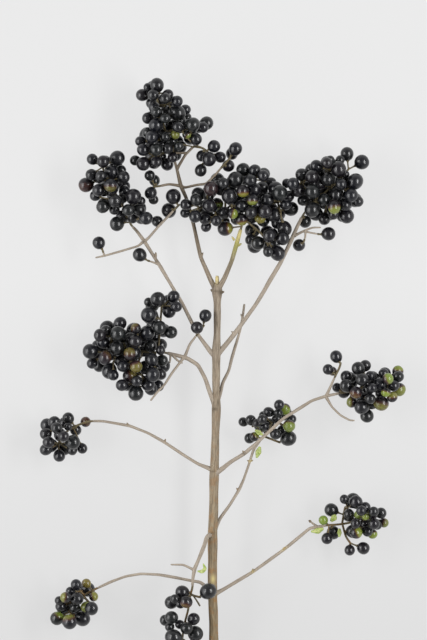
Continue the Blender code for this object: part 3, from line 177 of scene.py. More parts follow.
# %% The bunches
BUNCHES = {
    "bunch_top": ("top", 19, 5, 6,
        [[(-28.5, 128.5, 19), (-31.5, 139.5, 19), (-34.5, 149.5, 19), (-36.5, 159.5, 19)]],
        [(-37, 159, 5, 4.5, 2), (-30, 154, 6.5, 5, 3), (-34, 145, 7, 5, 4), (-18, 140, 5.5, 4.5, 2),
         (-36, 134, 8, 5, 4), (-38.5, 125, 8, 4.5, 3), (-26.5, 131, 4.5, 5, 2), (-24, 140.5, 6, 5, 4),
         (-28, 133.5, 4, 4, 2), (-34.5, 160, 3, 3, 1)],
        [(-36, 164.5, 3.8), (-44, 159, 3.4), (-41, 163, 2.3), (-20.5, 151, 2.8), (-25, 155, 3),
         (-9, 143.5, 3.6), (-16.5, 142, 3.9), (-15, 134.5, 3.3), (-11, 141, 3), (-41, 146, 3),
         (-45, 133.5, 2.8), (-48, 123, 2.8), (-43.5, 121, 3.6), (-36.5, 122, 3), (-30.5, 121, 3.3),
         (-37.5, 152, 3), (-30, 159, 2.8), (-19.5, 137, 2.3), (-24.5, 130.5, 2.5), (-41, 138, 2.8),
         (-38, 158.5, 3), (-31.5, 156.5, 3), (-25, 149, 4.4), (-36.5, 142, 3.9), (-31.5, 145.5, 2.8),
         (-38.5, 135.5, 3.3), (-31.5, 135.5, 2.8), (-43.5, 128.5, 3.3), (-36, 128.5, 3.3), (-30, 129, 3),
         (-27.5, 125, 2.8), (-26, 137, 2.5)], None),
    "bunch_top_fork": ("top_fork", 22, 0, 0,
        [[(-7.5, 127, 22)]], [],
        [(-4.5, 130, 3.3), (-11.5, 125.5, 3), (-7.5, 123.5, 3.8), (-1.5, 125, 3), (-12, 117.5, 3.3)], None),
    "trio_top": ("top_right", 23, 0, 0,
        [[(1.5, 121.5, 23), (4.5, 124.5, 23.5)]], [],
        [(7, 129, 3.6), (5, 126.5, 3.3), (3, 120.5, 3.3)], None),
    "bunch_left_inner": ("top_left", 18, 0, 0,
        [[(-38.5, 108.5, 18)]], [],
        [(-40, 114.5, 2.8), (-37.5, 112, 3), (-39.5, 105, 3.3), (-38, 101.5, 2.5)], None),
    "bunch_left_upper": ("left_upper", 19, 5, 6,
        [[(-53, 94.5, 19.5), (-57.5, 102.5, 19), (-62, 110, 19), (-66, 119, 19)]],
        [(-65, 120, 7, 3.5, 2), (-63.5, 111, 9, 5.5, 6), (-62, 101, 6.5, 4.5, 3), (-50, 98.5, 5, 5, 3),
         (-42, 92.5, 4, 3, 2)],
        [(-71.5, 123.5, 3), (-65.5, 122, 3.3), (-58, 124, 4), (-72, 115, 3), (-75, 109.5, 3.9),
         (-70, 103.5, 2.8), (-65.5, 97.5, 3.6), (-59.5, 96, 2.8), (-58, 88, 3.7), (-54, 106, 3),
         (-49, 102.5, 4.2), (-45, 100.5, 2.5), (-54.5, 113.5, 3.3), (-42, 91, 3.6), (-36, 89.5, 3),
         (-46, 95.5, 3.3), (-66.5, 114, 3), (-61, 116.5, 3.6), (-56, 117.5, 2.8), (-68, 106.5, 3.3),
         (-61.5, 109, 3.6), (-59, 100.5, 3.6), (-51.5, 95.5, 3.3), (-55, 92, 3.6)], 1),
    "pair_left_fork": ("left_fork", 24, 0, 0,
        [[(-23.5, 98.8, 24)]], [],
        [(-27, 103, 4, 22), (-29.5, 95.5, 4, 17.5)], None),
    "berry_left_thin": ("left_thin_up", 18.5, 0, 0,
        [], [],
        [(-68, 77.5, 3.3)], None),
    "berry_left_low": ("left_low", 22, 0, 0,
        [], [],
        [(-45.5, 71, 3.6)], None),
    "bunch_centre": ("centre", 21, 6, 6,
        [[(13, 94.5, 23), (14.5, 102.5, 21.5), (15.5, 111, 21)],
         [(12, 91.5, 23.5), (1.5, 97, 21), (-11, 97, 21)],
         [(13.5, 96.5, 22), (24, 98.5, 21), (32.5, 100.5, 21)],
         [(12.5, 90, 23.5), (20.5, 83.5, 21), (26, 77.5, 20)]],
        [(16.5, 113, 8, 4, 4), (1.5, 108.5, 6.5, 4.5, 3), (15, 102.5, 10, 5, 7), (31, 100.5, 5.5, 6, 3),
         (-13.5, 97, 5.5, 5, 2), (-4, 91, 6, 4, 2), (17.5, 92.5, 6, 4, 3), (24.5, 78.5, 8, 5.5, 4),
         (5, 98.5, 5.5, 5, 3), (-8.5, 103.5, 5, 4, 3), (32, 93, 4, 4, 2)],
        [(11.5, 117.5, 3.6), (17.5, 117, 3.3), (26.5, 111, 2.8), (7, 112, 4.2), (0.5, 108.5, 3),
         (-6, 107, 3.9), (29.5, 107, 3.9), (36, 103, 3.3), (37.5, 96.5, 3.9), (-14.5, 101, 3.3),
         (-20, 98.5, 3), (-15, 92, 3.3), (-9, 86.5, 2.8), (1.5, 85.5, 4), (10.5, 90.5, 3.3), (34, 85.5, 4),
         (30, 72, 4.2), (25, 73, 2.8), (15.5, 79.5, 3), (16.5, 84.5, 4), (32.5, 80, 3.6), (-9.5, 90.5, 3),
         (21.5, 114, 3), (16.5, 112.5, 3.3), (22, 108, 3.3), (4, 103.5, 4.1), (31, 101.5, 4.1),
         (-7.5, 98, 3.6), (10.5, 97.5, 3.3), (24.5, 101, 3.3), (-20.5, 94, 2.6), (-3.5, 89.5, 2.8),
         (1, 94, 3.3), (16, 94.5, 3.3), (22.5, 94.5, 3.6), (28.5, 93, 3.9), (19.5, 77.5, 3.6),
         (24.5, 78.5, 3.6), (11, 105.5, 3.3), (-3, 99, 3.3), (16, 100.5, 3), (5.5, 93.5, 2.8),
         (20.5, 91, 2.8)], None),
    "bunch_right_upper": ("right_upper", 19, 6, 6,
        [[(49, 99.5, 19), (56, 105, 19), (63, 111, 19), (70, 119, 19)],
         [(51.5, 102, 19), (44, 109, 19)],
         [(52.5, 102.5, 19), (63.5, 99, 19)]],
        [(59, 118, 9.5, 4, 4), (43, 111, 6.5, 5, 3), (58, 109, 10.5, 5.5, 8), (68.5, 105.5, 5.5, 6.5, 4),
         (52.5, 99, 7, 5, 4), (63.5, 97, 6.5, 4.5, 4)],
        [(68.5, 126.5, 3.6), (76.5, 122, 3.8), (59, 123, 2.3), (51.5, 119.5, 3.3), (43.5, 114.5, 3.3),
         (35, 110, 2.5), (38.5, 109.5, 3.3), (72.5, 111, 4.5), (74, 100.5, 3), (68, 92.5, 4), (56, 91, 3.3),
         (45.5, 89.5, 3.3), (44, 101, 2.8), (64.5, 123, 2.5), (57.5, 121, 3), (63, 118, 4.1),
         (48.5, 117.5, 3.3), (49, 113, 3.6), (57.5, 112, 3.3), (67.5, 115, 2.2), (65, 109.5, 3),
         (41.5, 107, 3.6), (49.5, 106, 3.9), (62.5, 104, 3.9), (70.5, 103.5, 3.6), (55, 100.5, 3.3),
         (49.5, 96, 4.1), (66.5, 98, 3), (61, 93.5, 3), (61, 97.5, 3.6)], 2),
    "berry_right_inner": ("right_inner", 22, 0, 0,
        [], [],
        [(42, 76.5, 3.3)], None),
    "berry_right_outer": ("right_outer", 21.5, 0, 0,
        [], [],
        [(57, 82.5, 3.6)], None),
    "bunch_left_middle": ("left_middle", 19, 6, 6,
        [[(-40, 17.5, 19.5), (-50, 18.5, 19), (-62, 18.5, 19)],
         [(-35.5, 17.5, 19.5), (-34.5, 29.5, 19), (-33.5, 43, 19)],
         [(-44, 18, 19.5), (-47.5, 9, 19), (-48.5, -1, 19)]],
        [(-33, 43, 6.5, 4, 2), (-34.5, 29.5, 5.5, 3.5, 2), (-61, 27, 7, 4, 3), (-46, 25.5, 7, 5, 4),
         (-64.5, 17, 7, 5.5, 4), (-51, 12.5, 7.5, 5.5, 5), (-37.5, 9, 4.5, 6.5, 3), (-48, 0, 6.5, 3.5, 2),
         (-54, 22, 5, 4, 3), (-59, 14.5, 4, 4, 2), (-44, 5, 4, 4, 2), (-36, 36, 5, 5, 2)],
        [(-35.5, 46.5, 3.9), (-27, 48, 3.3), (-40.5, 45, 2.5), (-40.5, 38, 4.1), (-25.5, 42.5, 3),
         (-28.5, 28.5, 3.4), (-56.5, 33, 3.6), (-57.5, 27.5, 4.1), (-67, 27, 3.3), (-47.5, 30, 2.8),
         (-72.5, 18, 4), (-71.5, 11.5, 3), (-62, 7.5, 4.2), (-55, -0.5, 3.3), (-47.5, -4.5, 3.9),
         (-39.5, -2.5, 3.3), (-35.5, -1, 3), (-34, 5.5, 3), (-33.5, 13, 3), (-34, 21.5, 3.3),
         (-65.5, 23, 3.3), (-29.5, 40, 3.5), (-34.5, 31, 3.7), (-41.5, 28, 4), (-63, 28.5, 2.8),
         (-58, 19.5, 4), (-48, 23.5, 3.5), (-39.5, 21, 3.4), (-50.5, 17, 3.4), (-44.5, 18, 3.2),
         (-64.5, 14.5, 3.6), (-54.5, 10, 3.2), (-47.5, 10, 3.3), (-38.5, 11, 3.7), (-38.5, 7, 3.9),
         (-50.5, 3.5, 3.9), (-41, 0, 3.5), (-60, 5, 2.8)], 5),
    "pair_left_middle": ("left_up", 27, 0, 0,
        [[(-11.5, 30.5, 26.5), (-10, 32.5, 27)]], [],
        [(-9.5, 37.5, 3.3), (-14, 31, 3.3)], None),
    "bunch_left_small": ("left_small", 13, 3, 4,
        [[(-79.5, -22.5, 14), (-85, -25.5, 13.5), (-89.5, -29.5, 13), (-90.5, -34, 13)]],
        [(-91.5, -23.5, 6, 4, 2), (-89.5, -32.5, 8, 5, 3)],
        [(-75.5, -21, 2.8), (-92.5, -21, 3.2), (-85, -19, 3.1), (-97.5, -27.5, 3.1), (-97.5, -36, 3.3),
         (-90, -39.5, 3.2), (-82.5, -32, 3.9), (-77.5, -35.5, 2.8), (-83, -36.5, 2.8), (-81, -25.5, 3),
         (-91, -24, 3.1), (-85, -23.5, 2.2), (-89.5, -28, 3.1), (-95.5, -32, 3.2)], None),
    "bunch_right_middle": ("right_middle", 18, 4, 5,
        [[(71, -4, 18.5), (78, -1.5, 18), (85.5, 0, 18), (92.5, -0.5, 18)]],
        [(76.5, 4, 6.5, 4.5, 2), (89.5, 1.5, 5.5, 4, 2), (71.5, -4, 5.5, 4, 1), (91, -5, 5, 3, 1),
         (82, -10, 6.5, 3.5, 2), (83, -2, 5, 5, 4)],
        [(74.5, 8.5, 3.5), (78.5, 10, 3), (88.5, 5.5, 2.8), (96.5, 7, 2.9), (96.5, 4, 3), (97.3, -3, 3.5),
         (93, -7, 2.8), (87, -10.5, 4), (79.5, -17.5, 3.5), (71, -10, 2.8), (68, -1, 3.5), (68, 4, 3.2),
         (76.5, -12.5, 3.9), (63, -2, 2.5), (76.5, 2.5, 3.5), (81, 4.5, 2.6), (90.5, 3, 3), (86.5, 0, 3.5),
         (89.5, -4.5, 2.5), (73, -4.5, 3.3), (80, -3, 3), (81, -8, 2.8)], None),
    "trio_right_middle": ("right_up", 21, 0, 0,
        [[(64.5, 9.5, 21.5), (65, 12, 21.5)]], [],
        [(62.5, 15, 3.3), (58, 8, 2.8), (60.5, 7, 2.5)], None),
    "bunch_under": ("under", 11, 3.5, 3.5,
        [[(25, -25.5, 11.5), (29, -18.5, 11.5)],
         [(24, -27, 11.5), (18.5, -23.5, 11.5), (15, -22, 11.5)],
         [(23, -29, 11.5), (32, -32.5, 11.5)]],
        [(16.5, -23.5, 4.5, 3, 0), (29.5, -15, 5.5, 3.5, 1), (34.5, -23.5, 3.5, 4, 0),
         (21.5, -26.5, 3.5, 3, 1), (26.5, -26, 3.5, 2, 1)],
        [(11.5, -21, 2.6), (15.5, -20, 2.8), (25.5, -15.5, 2.9), (31, -11.5, 2.8), (34, -14, 3.2),
         (38, -19.5, 2.5), (36.5, -23, 3.3), (36, -30, 4.2), (15, -30, 2.8), (25.5, -22, 2.8),
         (29, -27.5, 3), (19, -21.5, 2.5), (30.5, -16, 2.5), (17.5, -29, 2.5), (22.5, -17.5, 2.3),
         (22.5, -24, 2.8)], None),
    "bunch_right_lower": ("right_lower", 13, 3, 4.5,
        [[(64, -77.5, 13.5), (70.5, -76.5, 13), (76.5, -74, 13), (83.5, -73.5, 13)],
         [(65.8, -77.3, 13.5), (67.5, -68, 13)],
         [(66, -77.3, 13.5), (68, -84.5, 13), (71, -88.5, 13)]],
        [(69, -68, 5.5, 4, 2), (81, -72.5, 5.5, 4.5, 4), (74.5, -78.5, 4.5, 3.5, 2)],
        [(60, -69.5, 3.6), (67.5, -63.5, 2.5), (73, -65, 3.5), (87, -71.5, 2.9), (88.5, -76, 2.5),
         (79.5, -81, 2.9), (82.5, -82.5, 2.5), (57.5, -85, 3), (61, -82, 3.6), (70, -91.5, 2.8),
         (77.5, -90.5, 3.3), (78.5, -68, 2.9), (55.5, -75, 2.5), (82.5, -71.5, 2.9), (75.5, -72, 2.9),
         (78.5, -72.5, 2.1), (69.5, -71.5, 2.8), (73, -76.5, 2.8), (83, -76.5, 3.1), (85, -77.5, 2.5),
         (73.5, -81.5, 3.3)], 1),
    "bunch_left_lower": ("left_lower", 13, 3, 4.5,
        [[(-75, -115.5, 13.5), (-80, -120, 13), (-84, -125.5, 13)]],
        [(-84, -120, 6, 4.5, 4), (-83.5, -127, 7, 3.5, 2), (-74, -120, 3, 3.5, 1), (-79, -113.5, 4.5, 2, 1)],
        [(-80.5, -110.5, 3), (-75, -110, 2.5), (-83.5, -114, 2.5), (-89.5, -119, 2.5), (-89, -122, 2.8),
         (-91, -129, 3.6), (-84, -130.5, 4), (-77.5, -129, 4.2), (-72, -123, 3.6), (-71, -117, 2.5),
         (-86, -117, 3), (-80, -118, 3.5), (-75.5, -122.5, 2.8), (-81, -123, 3)], 0),
    "bunch_foot": ("foot", 18, 3.5, 5,
        [[(-17.5, -114.5, 26), (-19, -124.5, 21), (-20.5, -130, 19), (-22, -138.5, 18), (-23, -147.5, 18)],
         [(-17.5, -115.5, 26), (-12, -117, 28)]],
        [(-23.5, -117, 4.5, 4, 1), (-28, -130.5, 3.5, 3.5, 1), (-18, -132, 4.5, 4.5, 1),
         (-21, -141, 7, 5, 2), (-22, -148, 5, 3.5, 1)],
        [(-22, -114.5, 3.6), (-28, -120, 3.6), (-28, -128, 3.5), (-16, -129, 3.3), (-26.5, -138.5, 4.5),
         (-15, -137, 4.1), (-14.5, -145.5, 3.4), (-28, -148, 3.4), (-20, -153, 3.5), (-8, -113.5, 4.4, 30.6),
         (-20, -119, 3.3), (-26, -117.5, 2.5), (-23, -120, 2.5), (-28.5, -133, 2.5), (-24, -132, 2.5),
         (-20, -134, 3.3)], None),
}
print(len(BUNCHES), "bunches")

# %% The bracts
BRACTS = {
    "bract_under_hanging": [(20.6, -34.6, 13, 0.5), (19.8, -37.4, 14, 1.4), (18.7, -40.7, 14.5, 0.4)],
    "bract_under_folded": [(17.8, -25.3, 19.5, 0.4), (20, -26.7, 19.8, 1.2), (22.2, -28, 19.5, 0.4)],
    "bract_lower_fork": [(59.6, -75.7, 16.5, 0.5), (61.2, -73.8, 18, 1.3), (62, -72, 19, 0.4)],
    "bract_lower_long": [(55.6, -79.6, 15.3, 0.5), (52.5, -80.9, 15.8, 1.4), (48.7, -81.3, 15, 0.4)],
    "bract_lower_down": [(64.3, -79.6, 15.5, 0.5), (64.4, -81.8, 16.5, 1.0), (64.2, -84.2, 17, 0.4)],
    "bract_foot_curled": [(-13.8, -102.5, 28.6, 0.4), (-11.2, -102.8, 29.2, 1.1), (-9.6, -101.2, 29.4, 1.0),
                          (-10.6, -98.3, 29.2, 0.3)],
}
print(len(BRACTS), "bracts")

# %% [markdown]
# ## Where each berry sits
#
# Berries could be placed by hand, one by one, but there are hundreds. So only those that the photo shows
# well have a place of their own. A rule with a fixed seed draws a place for each of the others, and then
# moves all of them apart until none touches another, as growing berries push each other aside. It is the
# rule of the CAD model, so the berries that both show come out at the same places.

# %% Small tools for points
def arr(points):
    """The places (x, y, z) of some points as an array, without their radii."""
    return np.array([point[:3] for point in points], float)


def unit(vector):
    """Vectors divided by their lengths."""
    return vector / np.sqrt((vector * vector).sum(-1, keepdims=True))


def closest(point, a, b):
    """The point of the segment from a to b that is closest to a point. It works on arrays too."""
    along = b - a
    share = ((point - a) * along).sum(-1) / np.maximum((along * along).sum(-1), 1e-9)
    return a + np.clip(share, 0, 1)[..., None] * along


def segments(lines, radius=None):
    """Ends and radii of the straight pieces of some polylines, with one radius or that of each point."""
    starts = np.concatenate([arr(line)[:-1] for line in lines])
    ends = np.concatenate([arr(line)[1:] for line in lines])
    if radius is not None:
        return starts, ends, np.full(len(starts), radius)
    return starts, ends, np.concatenate([[point[3] for point in line[:-1]] for line in lines])

# %% The stalks inside a bunch
JOINT_GAP = 0.35          # millimetres between a twig and the first stalk of its bunch
SET_BACK = 1.2            # millimetres that a fruit stalk starts nearer to the twig than its berry sits


def start_of(twig):
    """Two points just beyond the end of a twig, in line with it, where the stalk of a bunch starts."""
    points = arr(TWIGS[twig])
    ahead = unit(points[-1] - points[-2])
    return [tuple(points[-1] + JOINT_GAP * ahead), tuple(points[-1] + (JOINT_GAP + SET_BACK) * ahead)]


def stalks_of(bunch):
    """The polylines of stalks inside a bunch. Each cluster adds a side stalk at the front and at the back."""
    twig, middle, apart, _, stalks, clusters, _, _ = BUNCHES[bunch]
    start = start_of(twig)
    lines = [start + stalks[0]] + stalks[1:] if stalks else [start]
    axis = [(a, b) for line in lines for a, b in zip(arr(line)[:-1], arr(line)[1:])][1:]
    for x, y, *_ in clusters:
        for side in (1, -1):
            tip = np.array([x, y, middle + side * (apart + 1)])
            near = min((closest(tip, a, b) for a, b in axis), key=lambda p: ((p - tip) ** 2).sum())
            lines.append([tuple(near), tuple(tip)])
    return lines

# %% Draw the first places
SEED = 20
BERRY_RADIUS = 3.4        # millimetres, the mean of the berries that the rule adds
BERRY_SPREAD = 0.4        # millimetres, the spread of their radii
SMALLEST, LARGEST = 2.3, 4.2    # millimetres, the limits of their radii
BERRY_LENGTH = 1.1        # half the length of a berry as a share of its radius
EDGE_ROOM = 2.0           # millimetres that a cluster's edge lies beyond its half sizes
ADDED, PLACED, RESTING = 0, 1, 2    # kinds of berry: the rule's, those with a place, those the sprig rests on


def way_out(x, y, clusters):
    """How far from the middle of its nearest cluster a place is: 1 at the edge of the bunch."""
    return min([math.hypot((x - a) / (wide + EDGE_ROOM), (y - b) / (high + EDGE_ROOM))
                for a, b, wide, high, _ in clusters], default=1)


def draw_berries():
    """The first places of all berries: (bunch number, centre, radius, home, half sizes, kind) as arrays.

    The heights of the placed ones follow the front of the bunch, which bulges like half an egg. The rule adds
    one in three to the middle layer of its cluster and the others to the back.
    """
    draws = np.random.default_rng(SEED)
    rows = []
    for number, entry in enumerate(BUNCHES.values()):
        _, middle, apart, depth, _, clusters, placed, rest = entry
        for x, y, radius, *height in placed:
            out = way_out(x, y, clusters)
            front = middle + (apart + depth) * math.sqrt(max(0, 1 - out * out))
            z = height[0] if height else front + draws.uniform(-0.5, 0.5) * apart
            rows.append([number, x, y, z, radius, x, y, z, 1, 1, 1, PLACED])
        for index, (x, y, wide, high, count) in enumerate(clusters):
            if index == rest:
                half = BERRY_LENGTH * BERRY_RADIUS
                rows.append([number, x, y, half, BERRY_RADIUS, x, y, half, 1, 1, 1, RESTING])
            for k in range(count):
                radius = np.clip(BERRY_RADIUS + BERRY_SPREAD * draws.normal(), SMALLEST, LARGEST)
                # Anywhere in its cluster's egg shape, but seldom near the middle.
                at = unit(draws.normal(size=3)) * draws.uniform(0.3, 1) ** 0.33 * (wide, high, depth)
                home = (x, y, middle if k % 3 == 2 else middle - apart)
                rows.append([number, *(at + home), radius, *home, wide, high, depth, ADDED])
    rows = np.array(rows)
    number, kind = rows[:, 0].astype(int), rows[:, 11].astype(int)
    return number, rows[:, 1:4], rows[:, 4], rows[:, 5:8], rows[:, 8:11], kind

# %% Let them push each other apart
BERRY_GAP = 0.1           # millimetres between berries of one bunch
BUNCH_GAP = 0.9           # millimetres between a berry and anything outside its bunch
SHORTEST_PEDICEL = 0.9    # millimetres, the shortest fruit stalk
STALK_RADIUS = 0.6        # millimetres
TABLE_ROOM = 0.4          # millimetres above the surface that stay free, but for the berries it rests on
HIGHEST = 35.4            # millimetres, which no berry reaches above
SETTLE_STEPS = 220
FREE_STEPS = 20           # how many of the last steps only push apart
LONGEST_MOVE = 1.2        # millimetres in one step
PLACED_WEIGHT = 0.35      # how far a placed berry gives way, when one of the rule's gives way by 1
PUSH, WOOD_PUSH = 0.8, 0.7      # shares of an overlap that a step clears, with a berry and with wood
PULL_IN, PULL_HOME = 0.3, 0.25  # shares of the way back that a step goes, to the cluster and to the own place


def settle(number, centre, radius, home, half, kind):
    """Moves the berries apart until none touches another, a twig, a bract or the surface.

    Each step adds up the pushes of all neighbours that are too near, and a pull back to where it belongs.
    """
    centre = centre.copy()
    stalks = [stalks_of(bunch) for bunch in BUNCHES]
    inner = [segments(lines, STALK_RADIUS) for lines in stalks]
    wood = segments([*TWIGS.values(), *BRACTS.values()])
    starts, ends, thick = (np.concatenate(parts) for parts in zip(wood, *inner))
    owner = np.repeat(np.arange(-1, len(inner)), [len(part[0]) for part in [wood, *inner]])
    own = owner[None] == number[:, None]
    room = radius[:, None] + np.where(own, SHORTEST_PEDICEL + BERRY_GAP, thick[None] + BUNCH_GAP)
    same = number[:, None] == number[None]
    apart = BERRY_LENGTH * (radius[:, None] + radius[None]) + np.where(same, BERRY_GAP, BUNCH_GAP)
    np.fill_diagonal(apart, 0)
    weight = np.select([kind == RESTING, kind == PLACED], [0.0, PLACED_WEIGHT], 1.0)
    share = weight[:, None] / np.maximum(weight[:, None] + weight[None], 1e-9)
    low = TABLE_ROOM + BERRY_LENGTH * radius
    high = HIGHEST - BERRY_LENGTH * radius
    for step in range(SETTLE_STEPS):
        gap = centre[:, None] - centre[None]
        far = np.sqrt((gap * gap).sum(-1)) + 1e-6
        push = np.clip(apart - far, 0, None) * share * PUSH
        move = (gap / far[..., None] * push[..., None]).sum(1)
        side = centre[:, None] - closest(centre[:, None], starts[None], ends[None])
        far = np.sqrt((side * side).sum(-1)) + 1e-6
        push = np.clip(room - far, 0, None) * WOOD_PUSH * (weight > 0)[:, None]
        move += (side / far[..., None] * push[..., None]).sum(1)
        if step < SETTLE_STEPS - FREE_STEPS:
            off = (centre - home) / half
            out = np.sqrt((off * off).sum(-1))
            back = np.where(kind == ADDED, np.clip(1 - 1 / np.maximum(out, 1), 0, 1) * PULL_IN, 0)
            move -= (centre - home) * back[:, None]
            move[:, :2] -= (centre - home)[:, :2] * np.where(kind == PLACED, PULL_HOME, 0)[:, None]
        length = np.sqrt((move * move).sum(-1, keepdims=True))
        centre += move * np.minimum(1, LONGEST_MOVE / np.maximum(length, 1e-9))
        centre[:, 2] = np.where(kind == RESTING, centre[:, 2], np.clip(centre[:, 2], low, high))
    return centre, stalks


number, first, radius, home, half, kind = draw_berries()
centre, stalks = settle(number, first, radius, home, half, kind)
moved = np.sqrt(((centre - first)[kind == PLACED, :2] ** 2).sum(1))
print(len(centre), "berries, the placed ones", round(float(moved.mean()), 2), "mm from their places")

# %% Leave out those that were pushed too far
KEPT_WITHIN = 0.75        # as far out as this in its cluster, a berry of the rule stays


def inside_outline(number, centre, kind):
    """False for a berry of the rule that the others have pushed too far outwards."""
    clusters = [entry[5] for entry in BUNCHES.values()]
    out = np.array([way_out(x, y, clusters[index]) for index, (x, y, _) in zip(number, centre)])
    return (kind != ADDED) | (out < KEPT_WITHIN)


wanted = inside_outline(number, centre, kind)
number, centre, radius, kind = number[wanted], centre[wanted], radius[wanted], kind[wanted]
reach = BERRY_LENGTH * radius[:, None]
centre = np.clip(centre, np.array(CAD_BOX[0]) / MM + reach, np.array(CAD_BOX[1]) / MM - reach)
print(len(centre), "berries stay, inside the CAD model's box")

# %% [markdown]
# Between these the photo shows a few more, while other gaps stay open. They are listed by bunch, with
# place (x, y) and radius. Each one sits at the height that leaves it the most room, which for some is in
# front of the others. The two of the top fork sit among those of the top bunch, on long fruit stalks.

# %% Berries that show between the others
BETWEEN = [
    ("bunch_left_middle", [(-38.8, 42.9, 3.4), (-61.4, 16, 2.8), (-37.2, 26, 2.7), (-68, 10, 3.3),
                           (-47.6, 7.7, 3.0), (-47.1, 1.7, 3.0), (-34, 18.6, 2.6)]),
    ("bunch_centre", [(5.2, 101.2, 3.2), (7.4, 90.8, 2.9), (-5.3, 96.8, 2.6)]),
    ("bunch_right_middle", [(82, -2, 2.6), (71.5, 0, 3.0), (77, -7.5, 3.2), (94, -1, 3.0)]),
    ("bunch_top_fork", [(-24.5, 140.8, 3.0), (-27.8, 133.1, 3.0)]),
    ("bunch_left_small", [(-87.2, -28.6, 3.0)]),
    ("bunch_right_lower", [(76.1, -69.3, 2.8), (82.7, -69.9, 2.8)]),
    ("bunch_left_upper", [(-54.2, 108.9, 3.0), (-54.8, 101.8, 2.5), (-49.3, 91.3, 2.8), (-61.4, 103.4, 2.5)]),
    ("bunch_under", [(33.2, -25.9, 3.0), (21.7, -19.3, 2.6), (29.9, -19.3, 2.8)]),
    ("bunch_top", [(-36.1, 149.1, 2.8), (-19.6, 146.9, 2.6)]),
    ("bunch_centre", [(1.3, 89.7, 2.6), (28.8, 77.6, 2.8)]),
]
LOWEST_BETWEEN = 1.5      # millimetres between the surface and the lowest of them
TRIED_EVERY = 0.5         # millimetres between the heights that are tried
ENOUGH_ROOM = 0.2         # millimetres, past which more room counts for nothing
NEAR_MIDDLE = 0.03        # millimetres of room that one millimetre nearer to the bunch's own height is worth


def between(bunch, x, y, size):
    """The place with the most room at (x, y): the height where the nearest berry's skin is furthest off.

    Room is counted between balls as wide as a berry is long. Berries are narrower than that, so a little
    less than 0 mostly still keeps them apart.
    """
    heights = np.arange(LOWEST_BETWEEN + BERRY_LENGTH * size, HIGHEST - BERRY_LENGTH * size, TRIED_EVERY)
    spots = np.stack([0 * heights + x, 0 * heights + y, heights], 1)
    room = np.sqrt(((spots[:, None] - centre) ** 2).sum(-1)) - BERRY_LENGTH * (radius + size)
    room = room.min(1)
    level = centre[number == bunch, 2].mean()
    best = int(np.argmax(np.minimum(room, ENOUGH_ROOM) - NEAR_MIDDLE * np.abs(heights - level)))
    return spots[best], float(room[best])


tightest = np.inf
for bunch, places in BETWEEN:
    index = list(BUNCHES).index(bunch)
    for x, y, size in places:
        spot, room = between(index, x, y, size)
        tightest = min(tightest, room)
        number, radius, kind = np.append(number, index), np.append(radius, size), np.append(kind, ADDED)
        centre = np.vstack([centre, spot])
top = float((centre[:, 2] + radius * BERRY_LENGTH).max())
print(len(centre), "berries now, the tightest with", round(tightest, 2), "mm of room, and the top at",
      round(top, 2), "mm")

# %% Where each fruit stalk starts
def attach(number, centre, kind, stalks):
    """Where each fruit stalk starts: the closest point of the stalks, a little back towards the twig.

    The first piece of the first stalk, next to the twig, carries no berry.
    """
    roots = np.empty_like(centre)
    for i, point in enumerate(centre):
        lines = stalks[number[i]]
        starts, ends, _ = segments(lines, STALK_RADIUS)
        starts, ends = starts[1:], ends[1:]
        if not len(starts):
            roots[i] = lines[0][-1]
            continue
        if kind[i] == RESTING:
            tips = np.array([line[-1] for line in lines])
            tips = tips[tips[:, 2] < tips[:, 2].mean()]
            across = ((tips[:, :2] - point[:2]) ** 2).sum(-1)
            roots[i] = tips[np.argmin(across)]
            continue
        near = closest(point[None], starts, ends)
        best = int(np.argmin(((near - point) ** 2).sum(-1)))
        back = starts[best] - near[best]
        length = np.sqrt((back * back).sum())
        roots[i] = near[best] + back * min(SET_BACK, length) / max(length, 1e-9)
    return roots


roots = attach(number, centre, kind, stalks)
longest = float(np.sqrt(((centre - roots) ** 2).sum(1)).max())
print("the furthest berry hangs", round(longest, 1), "mm from where its fruit stalk starts")

# %% [markdown]
# ## Turning points into surfaces
#
# Everything on the sprig is round: a profile carried along a line, or turned round an axis. So one
# function makes every mesh. It takes rings of points and closes each body with a point at both ends.

# %% Rings to a mesh
def closed_bodies(bodies):
    """Vertices and faces of closed round bodies, each given as (rings, ends).

    Rings has the shape (count, rings, sides, 3) and ends (count, 2, 3). Neighbouring rings are joined by
    quads: point j of ring i, point j + 1 of ring i, and the same two of ring i + 1. Triangles join the first
    and the last ring to the end points.
    """
    verts, faces, start = [], [], 0
    for rings, ends in bodies:
        count, rows, sides, _ = rings.shape
        each = rows * sides + 2
        j = np.arange(sides)
        k = (j + 1) % sides
        i = np.arange(rows - 1)[:, None] * sides
        quads = np.stack([i + j, i + k, i + k + sides, i + j + sides], -1).reshape(-1, 4)
        low = np.stack([k, j, np.full(sides, each - 2)], -1)
        high = np.stack([(rows - 1) * sides + j, (rows - 1) * sides + k, np.full(sides, each - 1)], -1)
        shift = start + np.arange(count)[:, None, None] * each
        faces += (quads + shift).reshape(-1, 4).tolist()
        faces += (np.concatenate([low, high]) + shift).reshape(-1, 3).tolist()
        verts.append(np.concatenate([rings.reshape(count, -1, 3), ends], 1).reshape(-1, 3))
        start += count * each
    return np.concatenate(verts), faces


def on_points(values, at_ends):
    """One value a vertex, in the order of closed_bodies, from values on the rings and at both ends."""
    count = values.shape[0]
    tail = values.shape[3:]
    return np.concatenate([values.reshape(count, -1, *tail), at_ends], 1).reshape(-1, *tail)


